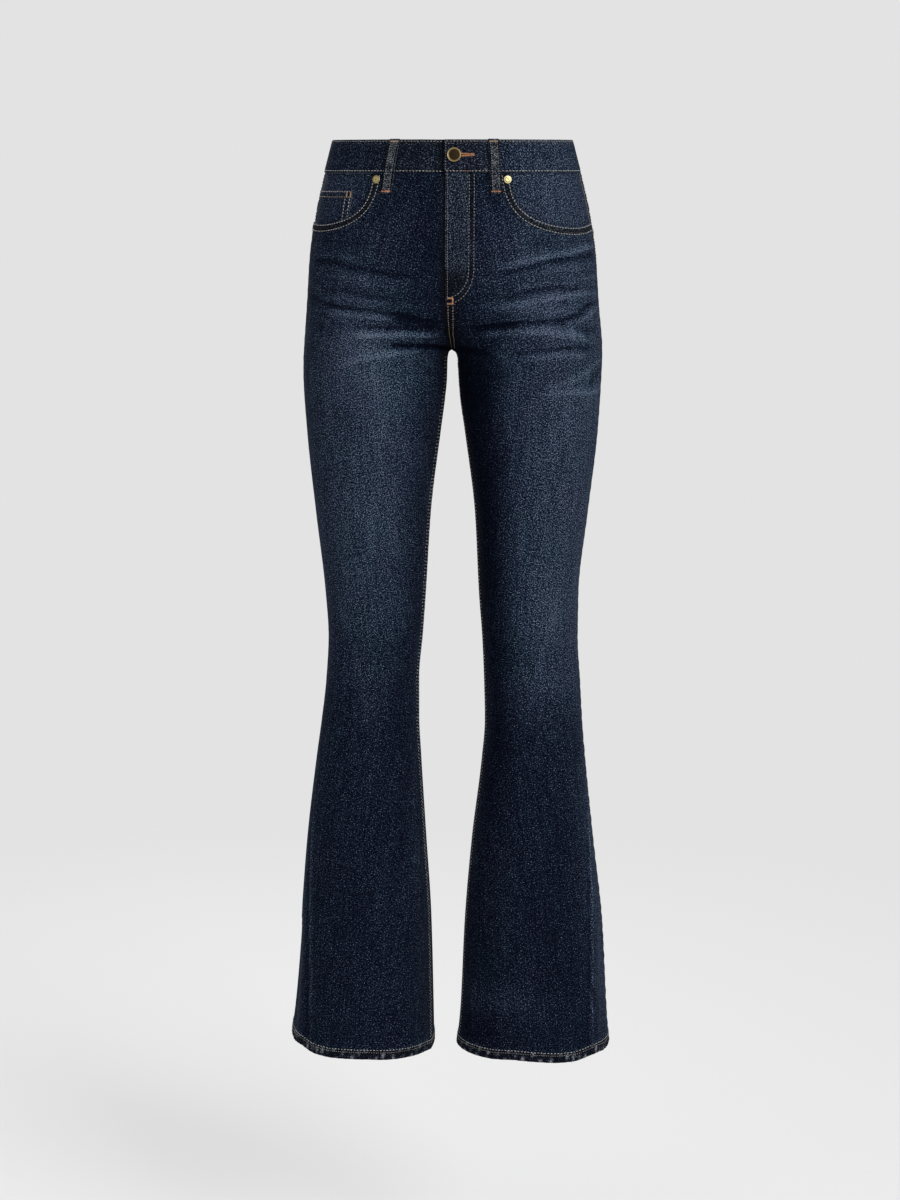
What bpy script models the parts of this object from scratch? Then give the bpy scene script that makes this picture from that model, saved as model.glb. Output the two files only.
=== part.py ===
"""Flared five-pocket jeans, filled out as if worn.

Metres, +Z up. The front faces -Y and the wearer's left is +X. The origin is the
middle of the waist ring, halfway up the waistband, where a wearer holds the
garment up.

The cloth follows one smooth form. A table of level sections gives its widths and
depths, and every panel, pocket and loop is a wall between that form and the same
form moved in or out along its normals.
"""
import math
from collections import namedtuple

import bmesh
import bpy
import numpy as np
from mathutils import Vector

COLLECTION = "flared_jeans"

# Sides and faces of the garment, as the signs of x and y.
LEFT, RIGHT = 1, -1
FRONT, BACK = -1, 1

# Heights, as drops below the waistband's top edge.
WAIST_TOP = 0.020
BAND_HEIGHT = 0.0385
CROTCH_DROP = 0.2535
HEM_DROP = 1.120
FRONT_RISE_CURVE = 0.075
BACK_RISE_CURVE = 0.105

# Just under the crotch the gap between the legs draws only the inner edge in.
EDGE_POWER = 5.0
EDGE_REACH = 0.100

# Walls and gaps.
SEAM_GAP = 0.0003
DENIM = 0.0016
HEM_FOLD = 0.013
HEM_PROUD = 0.0006
HEM_WALL = 0.0032
BAND_PROUD = 0.0008
BAND_WALL = 0.0030

# How far each leg's front is turned outwards at the hem.
TOE_OUT = {RIGHT: math.radians(9.0), LEFT: math.radians(4.0)}

# Level sections. "outer" and "inner" are distances from the middle plane, "side_y" is
# the depth of the side seam and inseam, "front" and "back" reach from there, each
# "crest" is how far out that reach lies, from 0 at the inner edge to 1 at the outer
# one, and "square" is 2 for an ellipse and more for a squarer section.
Section = namedtuple("Section", "drop right_outer right_inner left_inner left_outer side_y front back "
                     "right_crest left_crest square")
SECTIONS = (
    Section(0.000, 0.1440, 0.0000, 0.0000, 0.1440, 0.000, 0.0830, 0.0830, 0.000, 0.000, 2.00),
    Section(0.040, 0.1545, 0.0000, 0.0000, 0.1545, 0.000, 0.0885, 0.0900, 0.000, 0.000, 2.00),
    Section(0.085, 0.1650, 0.0000, 0.0000, 0.1650, 0.001, 0.0935, 0.1040, 0.020, 0.020, 2.00),
    Section(0.135, 0.1730, 0.0000, 0.0000, 0.1730, 0.002, 0.0970, 0.1160, 0.120, 0.120, 2.00),
    Section(0.195, 0.1775, 0.0000, 0.0000, 0.1775, 0.004, 0.0985, 0.1200, 0.310, 0.310, 2.00),
    Section(0.2535, 0.1822, 0.0000, 0.0000, 0.1822, 0.006, 0.0980, 0.1130, 0.455, 0.455, 2.00),
    Section(0.260, 0.1826, 0.0050, 0.0055, 0.1822, 0.006, 0.0975, 0.1115, 0.465, 0.465, 2.00),
    Section(0.280, 0.1830, 0.0068, 0.0085, 0.1816, 0.006, 0.0955, 0.1060, 0.490, 0.490, 2.00),
    Section(0.350, 0.1790, 0.0146, 0.0160, 0.1777, 0.005, 0.0905, 0.0900, 0.500, 0.500, 2.02),
    Section(0.450, 0.1686, 0.0268, 0.0287, 0.1666, 0.003, 0.0820, 0.0770, 0.500, 0.500, 2.05),
    Section(0.550, 0.1570, 0.0330, 0.0340, 0.1562, 0.000, 0.0715, 0.0680, 0.500, 0.500, 2.10),
    Section(0.605, 0.1536, 0.0370, 0.0382, 0.1558, -0.001, 0.0675, 0.0650, 0.500, 0.500, 2.12),
    Section(0.660, 0.1565, 0.0417, 0.0408, 0.1592, -0.003, 0.0655, 0.0645, 0.500, 0.500, 2.15),
    Section(0.710, 0.1622, 0.0417, 0.0420, 0.1623, -0.005, 0.0660, 0.0660, 0.500, 0.500, 2.18),
    Section(0.760, 0.1690, 0.0392, 0.0382, 0.1668, -0.007, 0.0690, 0.0690, 0.500, 0.500, 2.20),
    Section(0.860, 0.1806, 0.0331, 0.0264, 0.1777, -0.011, 0.0755, 0.0750, 0.500, 0.500, 2.25),
    Section(0.965, 0.1886, 0.0267, 0.0179, 0.1901, -0.015, 0.0820, 0.0805, 0.480, 0.520, 2.30),
    Section(1.072, 0.1966, 0.0241, 0.0131, 0.1965, -0.018, 0.0870, 0.0855, 0.440, 0.555, 2.30),
    Section(1.120, 0.2018, 0.0232, 0.0086, 0.2000, -0.020, 0.0885, 0.0880, 0.420, 0.570, 2.30),
)

# The largest soft folds: where their middle lies (drop, and distance from the side
# seam), their half length and half width, how far they stand out, and the angle of
# their length from the level.
Fold = namedtuple("Fold", "side face drop along length width proud angle")
FOLDS = (
    Fold(RIGHT, FRONT, 0.232, 0.180, 0.060, 0.010, 0.0022, 24),
    Fold(LEFT, FRONT, 0.228, 0.185, 0.055, 0.010, 0.0020, 20),
    Fold(RIGHT, FRONT, 0.268, 0.150, 0.070, 0.011, -0.0020, 18),
    Fold(LEFT, FRONT, 0.272, 0.145, 0.065, 0.011, -0.0022, 22),
    Fold(RIGHT, FRONT, 0.610, 0.095, 0.055, 0.014, 0.0020, -8),
    Fold(LEFT, FRONT, 0.590, 0.100, 0.050, 0.014, 0.0018, 10),
    Fold(RIGHT, FRONT, 1.010, 0.040, 0.110, 0.014, 0.0028, 88),
    Fold(LEFT, FRONT, 1.000, 0.045, 0.120, 0.014, 0.0028, 92),
    Fold(RIGHT, BACK, 0.308, 0.150, 0.080, 0.012, -0.0030, 14),
    Fold(LEFT, BACK, 0.304, 0.145, 0.075, 0.012, -0.0028, 12),
    Fold(RIGHT, BACK, 0.600, 0.105, 0.060, 0.012, -0.0032, 8),
    Fold(LEFT, BACK, 0.612, 0.100, 0.060, 0.012, -0.0030, -10),
    Fold(RIGHT, BACK, 0.655, 0.100, 0.055, 0.012, -0.0026, -14),
    Fold(LEFT, BACK, 0.662, 0.105, 0.055, 0.012, -0.0028, 9),
)
FOLD_FADE = 0.020

# The front pocket mouth: where it leaves the waistband, as a share of the half front
# counted from the side seam, how deep it falls, how squarely it rounds (2 is an
# ellipse), and how its columns bunch towards the rivet.
MOUTH_SHARE = {RIGHT: 0.540, LEFT: 0.620}
MOUTH_DEPTH = 0.0620
MOUTH_SQUARE = 3.2
MOUTH_BUNCH = 1.5
MOUTH_COLUMNS = 10
BEARER_DROP = 0.120
BEARER_BEYOND = 2
BEARER_STEPS = 6
COIN_TOP = 0.0588
COIN_COLUMNS = 6
COIN_STEPS = 4
COIN_WALL = 0.0012

# The fly: each front's edge past the centre, and how deep the right edge dips under
# the left one, from the waistband down to the bar tack and back to the plain seam.
FlyRow = namedtuple("FlyRow", "drop left_edge right_edge dip")
FLY = (
    FlyRow(0.184, 0.0010, 0.0080, DENIM + SEAM_GAP),
    FlyRow(0.188, 0.0010, -0.0013, DENIM + SEAM_GAP),
    FlyRow(0.192, 0.0010, -0.0013, 0.0),
    FlyRow(0.198, -SEAM_GAP / 2, -SEAM_GAP / 2, 0.0),
)
DIP_START = 0.025
DIP_END = 0.004

# The strips behind the fly: each column's distance from the centre, towards the
# wearer's left, and its thickness.
StripColumn = namedtuple("StripColumn", "across wall")
ZIP_TAPE = 0.0009
ZIP_CHAIN = 0.0018
ZIP_COLUMNS = (
    StripColumn(-0.0100, ZIP_TAPE),
    StripColumn(-0.0040, ZIP_TAPE),
    StripColumn(-0.0035, ZIP_CHAIN),
    StripColumn(0.0035, ZIP_CHAIN),
    StripColumn(0.0040, ZIP_TAPE),
    StripColumn(0.0140, ZIP_TAPE),
    StripColumn(0.0220, ZIP_TAPE),
)
ZIP_DEPTH = 0.0040
ZIP_BOTTOM = 0.180
SHIELD_COLUMNS = tuple(StripColumn(across, DENIM) for across in (-0.014, -0.004, 0.006, 0.016, 0.027, 0.038))
SHIELD_DEPTH = 0.0063
SHIELD_BOTTOM = 0.190
STRIP_STEPS = 8

# Panels: columns from the side seam to the centre seam or inseam, and rows by drop.
# A front's columns run evenly spaced again below its pocket mouth.
FRONT_PLAIN_COLUMNS = 4
BACK_COLUMNS = 14
EVEN_FROM = 0.110
EVEN_BY = 0.170
FRONT_LEVEL = 0.125
FRONT_TOP_ROWS = 4
FRONT_LEVEL_ROWS = (0.145, 0.165)
FRONT_UNDER_FROM = 0.200
BACK_LEVEL = 0.135
BACK_TOP_ROWS = 3
BACK_LEVEL_ROWS = (0.145,)
BACK_UNDER_FROM = 0.150
UNDER_ANGLES = (15, 30, 45, 60, 75, 90)
HEM_STEP = 0.0004
LEG_ROWS = (0.2565, 0.262, 0.272, 0.290, 0.320, 0.360, 0.400, 0.440, 0.480, 0.520, 0.555, 0.590, 0.620,
            0.650, 0.685, 0.720, 0.760, 0.805, 0.855, 0.905, 0.955, 1.005, 1.055, 1.090,
            HEM_DROP - HEM_FOLD - HEM_STEP, HEM_DROP - HEM_FOLD, HEM_DROP)
SHARP_ANGLE = math.radians(50)

# The back yoke's lower seam, and the patch pockets on the back.
YOKE_SIDE_DROP = 0.083
YOKE_CENTRE_DROP = 0.112
YOKE_STEPS = 3
POCKET_ALONG = (0.052, 0.190)
POCKET_TOP = 0.126
POCKET_SIDE_LENGTH = 0.120
POCKET_POINT_LENGTH = 0.141
POCKET_NARROWING = 0.05
POCKET_PROUD = 0.0009
POCKET_WALL = 0.0015
POCKET_COLUMNS = 14
POCKET_ROWS = 10

# The waistband, by angle round from the centre front towards the wearer's left. Its
# left end starts just past the centre. Its right end dips to run under the left one.
BAND_START = -1.2
BAND_LEVEL_TO = 348.0
BAND_DIPPED_FROM = 356.5
BAND_END = 372.0
BAND_COLUMNS = 58
UNDERLAP_COLUMNS = 3
BAND_STEPS = 3

# Belt loops: the angle round the waist of the top and the bottom, from the centre
# front towards the wearer's left.
Loop = namedtuple("Loop", "name top_angle bottom_angle")
LOOPS = (
    Loop("belt_loop_front_right", -25.0, -26.6),
    Loop("belt_loop_front_left", 22.0, 21.3),
    Loop("belt_loop_back_right", -122.0, -122.0),
    Loop("belt_loop_back_left", 122.0, 122.0),
    Loop("belt_loop_back_centre", 180.0, 180.0),
)
LOOP_WIDTH = 0.0125
LOOP_STEPS = 3
LOOP_WALL = 0.0018
LoopRow = namedtuple("LoopRow", "drop inside")
LOOP_ROWS = (
    LoopRow(-0.0005, 0.0012),
    LoopRow(0.0050, 0.0014),
    LoopRow(0.0140, 0.0024),
    LoopRow(0.0240, 0.0027),
    LoopRow(0.0340, 0.0023),
    LoopRow(0.0430, 0.0016),
    LoopRow(0.0540, 0.0005),
    LoopRow(0.0625, 0.0005),
)

# Metal trim.
BUTTON_ACROSS = 0.0091
BUTTON_DROP = 0.0181
BUTTON_PROFILE = ((0.0, 0.0036), (0.0030, 0.0035), (0.0062, 0.0030), (0.0070, 0.0036), (0.0080, 0.0036),
                  (0.0085, 0.0028), (0.0084, 0.0018), (0.0060, 0.0010), (0.0035, 0.0), (0.0, 0.0))
RIVET_SHARE = {RIGHT: 0.567, LEFT: 0.633}
RIVET_DROP = 0.0464
RIVET_PROFILE = ((0.0, 0.0017), (0.0022, 0.0015), (0.0036, 0.0010), (0.0046, 0.0010), (0.0048, 0.0), (0.0, 0.0))
TURN_STEPS = 28
TURN_MERGE = 0.00001

Finish = namedtuple("Finish", "name colour roughness metallic")
INDIGO = Finish("indigo_denim", (0.014, 0.021, 0.045, 1.0), 0.88, 0.0)
DARK_INDIGO = Finish("dark_indigo_denim", (0.009, 0.012, 0.022, 1.0), 0.88, 0.0)
TAPE = Finish("zip_tape", (0.012, 0.014, 0.020, 1.0), 0.75, 0.0)
OLD_BRASS = Finish("old_brass", (0.23, 0.16, 0.07, 1.0), 0.42, 1.0)
BRIGHT_BRASS = Finish("bright_brass", (0.55, 0.40, 0.18, 1.0), 0.35, 1.0)

SECTION_STEPS = 90
PROBE = 0.0005


def ease(value):
    """Smooth step from 0 to 1."""
    value = min(max(value, 0.0), 1.0)
    return value * value * (3.0 - 2.0 * value)


def smooth_column(name):
    """One column of the section table as a smooth function of drop, with no overshoot."""
    drops = np.array([row.drop for row in SECTIONS])
    values = np.array([getattr(row, name) for row in SECTIONS])
    steps = np.diff(values) / np.diff(drops)
    slopes = np.concatenate(([steps[0]], np.zeros(len(steps) - 1), [steps[-1]]))
    for index in range(1, len(steps)):
        before, after = steps[index - 1], steps[index]
        if before * after > 0.0:
            slopes[index] = 2.0 * before * after / (before + after)

    def value(drop):
        drop = min(max(drop, drops[0]), drops[-1])
        index = min(int(np.searchsorted(drops, drop, side="right")) - 1, len(steps) - 1)
        span = drops[index + 1] - drops[index]
        t = (drop - drops[index]) / span
        rest = 1.0 - t
        return (values[index] * (1.0 + 2.0 * t) * rest * rest + slopes[index] * span * t * rest * rest
                + values[index + 1] * t * t * (3.0 - 2.0 * t) - slopes[index + 1] * span * t * t * rest)

    return value


CURVES = {name: smooth_column(name) for name in Section._fields[1:]}
SECTION_CACHE = {}


def half_section(side, face, drop):
    """One level quarter of the form, from the side seam to the centre or inseam, with its lengths."""
    key = (side, face, round(drop, 7))
    if key in SECTION_CACHE:
        return SECTION_CACHE[key]
    name = "left" if side == LEFT else "right"
    outer = CURVES[name + "_outer"](drop)
    inner = SEAM_GAP / 2
    if drop > CROTCH_DROP:
        inner = max(CURVES[name + "_inner"](drop), inner)
    side_y = CURVES["side_y"](drop)
    depth = CURVES["front" if face == FRONT else "back"](drop)
    square = CURVES["square"](drop)
    apart = ease((drop - CROTCH_DROP) / EDGE_REACH)
    crest = apart * inner + (outer - apart * inner) * CURVES[name + "_crest"](drop)
    rise = FRONT_RISE_CURVE if face == FRONT else BACK_RISE_CURVE
    under = ease((drop - CROTCH_DROP + rise) / rise)
    angles = np.linspace(0.0, math.pi / 2, SECTION_STEPS)
    outer_x = crest + (outer - crest) * np.cos(angles) ** (2.0 / square)
    outer_y = depth * np.sin(angles) ** (2.0 / square)
    inwards = np.sin(angles[1:])
    inner_x = crest * (1.0 - inwards) + inner * inwards ** (1.0 + EDGE_POWER * (1.0 - apart))
    inner_y = depth * (1.0 - (under * inwards) ** square).clip(0.0) ** (1.0 / square)
    x = np.concatenate((outer_x, inner_x))
    y = face * np.concatenate((outer_y, inner_y))
    middle = (outer + inner) / 2
    turn = TOE_OUT[side] * ease((drop - CROTCH_DROP) / (HEM_DROP - CROTCH_DROP))
    turned_x = middle + (x - middle) * math.cos(turn) - y * math.sin(turn)
    turned_y = side_y + (x - middle) * math.sin(turn) + y * math.cos(turn)
    points = np.column_stack((side * turned_x, turned_y))
    lengths = np.concatenate(([0.0], np.cumsum(np.linalg.norm(np.diff(points, axis=0), axis=1))))
    SECTION_CACHE[key] = points, lengths
    return points, lengths


def half_length(side, face, drop):
    """Length of a level quarter, from the side seam to the centre seam or inseam."""
    return half_section(side, face, drop)[1][-1]


def on_form(side, face, drop, share):
    """Point of the plain form at a share of its quarter's length, 0 at the side seam."""
    points, lengths = half_section(side, face, drop)
    at = share * lengths[-1]
    x = np.interp(at, lengths, points[:, 0])
    y = np.interp(at, lengths, points[:, 1])
    return Vector((x, y, WAIST_TOP - drop))


def fold_height(side, face, drop, along, length):
    """How far the soft folds lift the form there. They fade out before a seam."""
    height = 0.0
    for fold in FOLDS:
        if fold.side == side and fold.face == face:
            angle = math.radians(fold.angle)
            down, over = drop - fold.drop, along - fold.along
            run = over * math.cos(angle) + down * math.sin(angle)
            off = down * math.cos(angle) - over * math.sin(angle)
            height += fold.proud * math.exp(-(run / fold.length) ** 2 - (off / fold.width) ** 2)
    return height * ease(along / FOLD_FADE) * ease((length - along) / FOLD_FADE)


def form_normal(side, face, drop, share):
    """Outward normal of the plain form."""
    step = PROBE / half_length(side, face, drop)
    low, high = max(share - step, 0.0), min(share + step, 1.0)
    round_way = on_form(side, face, drop, high) - on_form(side, face, drop, low)
    down_way = on_form(side, face, drop + PROBE, share) - on_form(side, face, drop - PROBE, share)
    normal = round_way.cross(down_way) * (-side * face)
    if drop < CROTCH_DROP and (1.0 - share) * half_length(side, face, drop) < 2 * SEAM_GAP:
        normal.x = 0.0
    return normal.normalized()


def cloth(side, face, drop, along, out=0.0):
    """Point of the folded form, moved out along its normal. Past the centre it crosses to the other side."""
    length = half_length(side, face, drop)
    if along > length:
        side, along = -side, 2.0 * length - along
    share = along / length
    lift = out + fold_height(side, face, drop, along, length)
    return on_form(side, face, drop, share) + form_normal(side, face, drop, share) * lift


def finish_material(finish):
    """The Principled material of a finish, made once."""
    material = bpy.data.materials.get(finish.name)
    if material is None:
        material = bpy.data.materials.new(finish.name)
        material.use_nodes = True
        shader = material.node_tree.nodes["Principled BSDF"]
        shader.inputs["Base Color"].default_value = finish.colour
        shader.inputs["Roughness"].default_value = finish.roughness
        shader.inputs["Metallic"].default_value = finish.metallic
    return material


def add_object(name, mesh, finish, collection):
    """Link a mesh as a named object with its finish."""
    thing = bpy.data.objects.new(name, mesh)
    mesh.materials.append(finish_material(finish))
    collection.objects.link(thing)
    return thing


def loft_wall(name, outside, inside, finish, collection):
    """Closed wall between two grids of points with the same rows and columns."""
    shell = bmesh.new()
    outer = [[shell.verts.new(point) for point in row] for row in outside]
    inner = [[shell.verts.new(point) for point in row] for row in inside]
    rows, columns = len(outer), len(outer[0])
    for r in range(rows - 1):
        for c in range(columns - 1):
            shell.faces.new((outer[r][c], outer[r][c + 1], outer[r + 1][c + 1], outer[r + 1][c]))
            shell.faces.new((inner[r][c], inner[r + 1][c], inner[r + 1][c + 1], inner[r][c + 1]))
    for r in range(rows - 1):
        for c in (0, columns - 1):
            shell.faces.new((outer[r][c], outer[r + 1][c], inner[r + 1][c], inner[r][c]))
    for c in range(columns - 1):
        for r in (0, rows - 1):
            shell.faces.new((outer[r][c], inner[r][c], inner[r][c + 1], outer[r][c + 1]))
    bmesh.ops.recalc_face_normals(shell, faces=shell.faces)
    mesh = bpy.data.meshes.new(name)
    shell.to_mesh(mesh)
    shell.free()
    mesh.shade_smooth()
    mesh.set_sharp_from_angle(angle=SHARP_ANGLE)
    return add_object(name, mesh, finish, collection)


def wall_of_spots(name, spots, finish, collection):
    """Wall from rows of (side, face, drop, along, outer offset, inner offset)."""
    outside = [[cloth(side, face, drop, along, out) for side, face, drop, along, out, _ in row] for row in spots]
    inside = [[cloth(side, face, drop, along, to) for side, face, drop, along, _, to in row] for row in spots]
    return loft_wall(name, outside, inside, finish, collection)


def hem_offsets(drop):
    """Outer and inner offset of a panel's wall, thicker in the turned-up hem."""
    if drop >= HEM_DROP - HEM_FOLD:
        return HEM_PROUD, HEM_PROUD - HEM_WALL
    return 0.0, -DENIM


def mouth_reach(column):
    """How far along the pocket mouth's width a column stands, from 0 at the side seam to 1."""
    return 1.0 - (1.0 - column / MOUTH_COLUMNS) ** MOUTH_BUNCH


def mouth_drop(column):
    """Drop of the pocket mouth at a column."""
    fall = (1.0 - mouth_reach(column) ** MOUTH_SQUARE) ** (1.0 / MOUTH_SQUARE)
    return BAND_HEIGHT + SEAM_GAP + MOUTH_DEPTH * fall


def front_column_count():
    """Columns of a front: the pocket mouth's, the plain ones and the fly's three."""
    return MOUTH_COLUMNS + 1 + FRONT_PLAIN_COLUMNS + 3


def front_along(column, side, drop):
    """Distance from the side seam of a front's column at a drop."""
    length = half_length(side, FRONT, drop)
    edge = fly_edge(side, drop)
    last = front_column_count() - 1
    if column == last:
        return length + edge
    if column == last - 1:
        return length - DIP_END
    if column == last - 2:
        return length - DIP_START
    free = length - DIP_START
    begin = MOUTH_SHARE[side] * length
    if column <= MOUTH_COLUMNS:
        shaped = mouth_reach(column) * begin
    else:
        shaped = begin + (free - begin) * (column - MOUTH_COLUMNS) / (FRONT_PLAIN_COLUMNS + 1)
    even = free * column / (last - 2)
    blend = ease((drop - EVEN_FROM) / (EVEN_BY - EVEN_FROM))
    return max(shaped + (even - shaped) * blend, SEAM_GAP / 2)


def fly_value(column, drop):
    """A column of the fly's table at a drop."""
    return float(np.interp(drop, [row.drop for row in FLY], [getattr(row, column) for row in FLY]))


def fly_edge(side, drop):
    """How far a front runs past the centre seam, or short of it."""
    return fly_value("left_edge" if side == LEFT else "right_edge", drop)


def fly_dip(column, side, drop):
    """How deep a column of the right front lies under the left one at the fly."""
    if side == RIGHT and column >= front_column_count() - 2:
        return fly_value("dip", drop)
    return 0.0


def front_rows(column):
    """Drops down one column of a front, from its top edge or the pocket mouth to the hem."""
    top = mouth_drop(column) if column < MOUTH_COLUMNS else BAND_HEIGHT + SEAM_GAP
    upper = [top + (FRONT_LEVEL - top) * step / FRONT_TOP_ROWS for step in range(FRONT_TOP_ROWS + 1)]
    fly_rows = [row.drop for row in FLY]
    return upper + list(FRONT_LEVEL_ROWS) + fly_rows + under_rows(FRONT_RISE_CURVE, FRONT_UNDER_FROM) + list(LEG_ROWS)


def under_rows(rise, below):
    """Drops that follow the rise seam as it curves under, lower than a given drop."""
    start = CROTCH_DROP - rise
    drops = [start + rise * math.sin(math.radians(angle)) for angle in UNDER_ANGLES]
    return [drop for drop in drops if drop > below]


def make_front(side, collection):
    """A front panel, cut out at the pocket mouth, with its half of the fly."""
    columns = range(front_column_count())
    drops = [front_rows(column) for column in columns]
    spots = []
    for r in range(len(drops[0])):
        row = []
        for column in columns:
            drop = drops[column][r]
            out, to = hem_offsets(drop)
            dip = fly_dip(column, side, drop)
            row.append((side, FRONT, drop, front_along(column, side, drop), out - dip, to - dip))
        spots.append(row)
    wall_of_spots("front_left" if side == LEFT else "front_right", spots, INDIGO, collection)


def back_along(column, side, drop):
    """Distance from the side seam of a back's column at a drop."""
    length = half_length(side, BACK, drop)
    along = length * column / BACK_COLUMNS
    return min(max(along, SEAM_GAP / 2), length - SEAM_GAP / 2)


def yoke_drop(column):
    """Drop of the yoke's lower seam at a column."""
    return YOKE_SIDE_DROP + (YOKE_CENTRE_DROP - YOKE_SIDE_DROP) * column / BACK_COLUMNS


def make_back(side, collection):
    """A back panel, from the yoke to the hem."""
    level = list(BACK_LEVEL_ROWS) + under_rows(BACK_RISE_CURVE, BACK_UNDER_FROM) + list(LEG_ROWS)
    drops = []
    for column in range(BACK_COLUMNS + 1):
        top = yoke_drop(column) + SEAM_GAP
        upper = [top + (BACK_LEVEL - top) * step / BACK_TOP_ROWS for step in range(BACK_TOP_ROWS + 1)]
        drops.append(upper + level)
    spots = []
    for r in range(len(drops[0])):
        row = []
        for column in range(BACK_COLUMNS + 1):
            drop = drops[column][r]
            row.append((side, BACK, drop, back_along(column, side, drop), *hem_offsets(drop)))
        spots.append(row)
    wall_of_spots("back_left" if side == LEFT else "back_right", spots, INDIGO, collection)


def make_yoke(side, collection):
    """The back yoke, between the waistband and the back panel."""
    top = BAND_HEIGHT + SEAM_GAP
    spots = []
    for step in range(YOKE_STEPS + 1):
        row = []
        for column in range(BACK_COLUMNS + 1):
            drop = top + (yoke_drop(column) - top) * step / YOKE_STEPS
            row.append((side, BACK, drop, back_along(column, side, drop), 0.0, -DENIM))
        spots.append(row)
    wall_of_spots("yoke_left" if side == LEFT else "yoke_right", spots, INDIGO, collection)


def make_bearer(side, collection):
    """The denim that shows in a front pocket's mouth, sewn behind the front."""
    depth = DENIM + SEAM_GAP
    if side == RIGHT:
        depth += COIN_WALL + SEAM_GAP
    top = BAND_HEIGHT + SEAM_GAP
    spots = []
    for step in range(BEARER_STEPS + 1):
        drop = top + (BEARER_DROP - top) * step / BEARER_STEPS
        row = [(side, FRONT, drop, front_along(column, side, drop), -depth, -depth - DENIM)
               for column in range(MOUTH_COLUMNS + BEARER_BEYOND + 1)]
        spots.append(row)
    wall_of_spots("pocket_bearer_left" if side == LEFT else "pocket_bearer_right", spots, DARK_INDIGO, collection)


def make_coin_pocket(collection):
    """The small fifth pocket, on the right pocket's bearer, under the front."""
    out = -(DENIM + SEAM_GAP)
    spots = []
    for step in range(COIN_STEPS + 1):
        drop = COIN_TOP + (BEARER_DROP - COIN_TOP) * step / COIN_STEPS
        row = [(RIGHT, FRONT, drop, front_along(column, RIGHT, drop), out, out - COIN_WALL)
               for column in range(COIN_COLUMNS + 1)]
        spots.append(row)
    wall_of_spots("coin_pocket", spots, DARK_INDIGO, collection)


def centre_front(across, drop):
    """Side and distance from the side seam of a point by its distance from the centre front."""
    side = LEFT if across >= 0.0 else RIGHT
    return side, half_length(side, FRONT, drop) - abs(across)


def make_fly_strip(name, columns, depth, bottom, finish, collection):
    """A strip behind the fly, from below the waistband to its bottom."""
    top = BAND_HEIGHT + SEAM_GAP
    spots = []
    for step in range(STRIP_STEPS + 1):
        drop = top + (bottom - top) * step / STRIP_STEPS
        row = []
        for column in columns:
            side, along = centre_front(column.across, drop)
            row.append((side, FRONT, drop, along, -depth, -depth - column.wall))
        spots.append(row)
    wall_of_spots(name, spots, finish, collection)


def band_point(angle, drop, out):
    """Point of the waist form by its angle round from the centre front to the wearer's left."""
    turn = math.radians(angle)
    side = LEFT if math.sin(turn) >= 0.0 else RIGHT
    face = FRONT if math.cos(turn) >= 0.0 else BACK
    width = CURVES["left_outer"](drop)
    depth = CURVES["front" if face == FRONT else "back"](drop)
    points, lengths = half_section(side, face, drop)
    height = math.atan2(abs(math.cos(turn)), abs(math.sin(turn)))
    heights = np.arctan2(np.abs(points[:, 1] - CURVES["side_y"](drop)) / depth, np.abs(points[:, 0]) / width)
    along = float(np.interp(height, heights, lengths))
    return cloth(side, face, drop, along, out)


def make_waistband(collection):
    """The waistband: one strip round the waist, whose left end laps over its right end."""
    angles = [BAND_START + (BAND_LEVEL_TO - BAND_START) * step / BAND_COLUMNS for step in range(BAND_COLUMNS + 1)]
    angles += [BAND_DIPPED_FROM + (BAND_END - BAND_DIPPED_FROM) * step / UNDERLAP_COLUMNS
               for step in range(UNDERLAP_COLUMNS + 1)]
    dips = [0.0 if angle < BAND_DIPPED_FROM else BAND_WALL + SEAM_GAP for angle in angles]
    outside, inside = [], []
    for step in range(BAND_STEPS + 1):
        drop = BAND_HEIGHT * step / BAND_STEPS
        outside.append([band_point(angle, drop, BAND_PROUD - dip) for angle, dip in zip(angles, dips)])
        inside.append([band_point(angle, drop, BAND_PROUD - BAND_WALL - dip) for angle, dip in zip(angles, dips)])
    loft_wall("waistband", outside, inside, INDIGO, collection)


def make_belt_loop(loop, collection):
    """A belt loop: a strip that bows out between its two sewn ends."""
    lowest, highest = LOOP_ROWS[-1].drop, LOOP_ROWS[0].drop
    outside, inside = [], []
    for row in LOOP_ROWS:
        share = (row.drop - highest) / (lowest - highest)
        angle = loop.top_angle + (loop.bottom_angle - loop.top_angle) * share
        drop = max(row.drop, 0.0)
        nudge = Vector((0.0, 0.0, drop - row.drop))
        inner_row, outer_row = [], []
        per_degree = (band_point(angle + 1.0, drop, 0.0) - band_point(angle, drop, 0.0)).length
        for step in range(LOOP_STEPS + 1):
            at = angle + (step / LOOP_STEPS - 0.5) * LOOP_WIDTH / per_degree
            outer_row.append(band_point(at, drop, row.inside + LOOP_WALL) + nudge)
            inner_row.append(band_point(at, drop, row.inside) + nudge)
        outside.append(outer_row)
        inside.append(inner_row)
    loft_wall(loop.name, outside, inside, INDIGO, collection)


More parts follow.
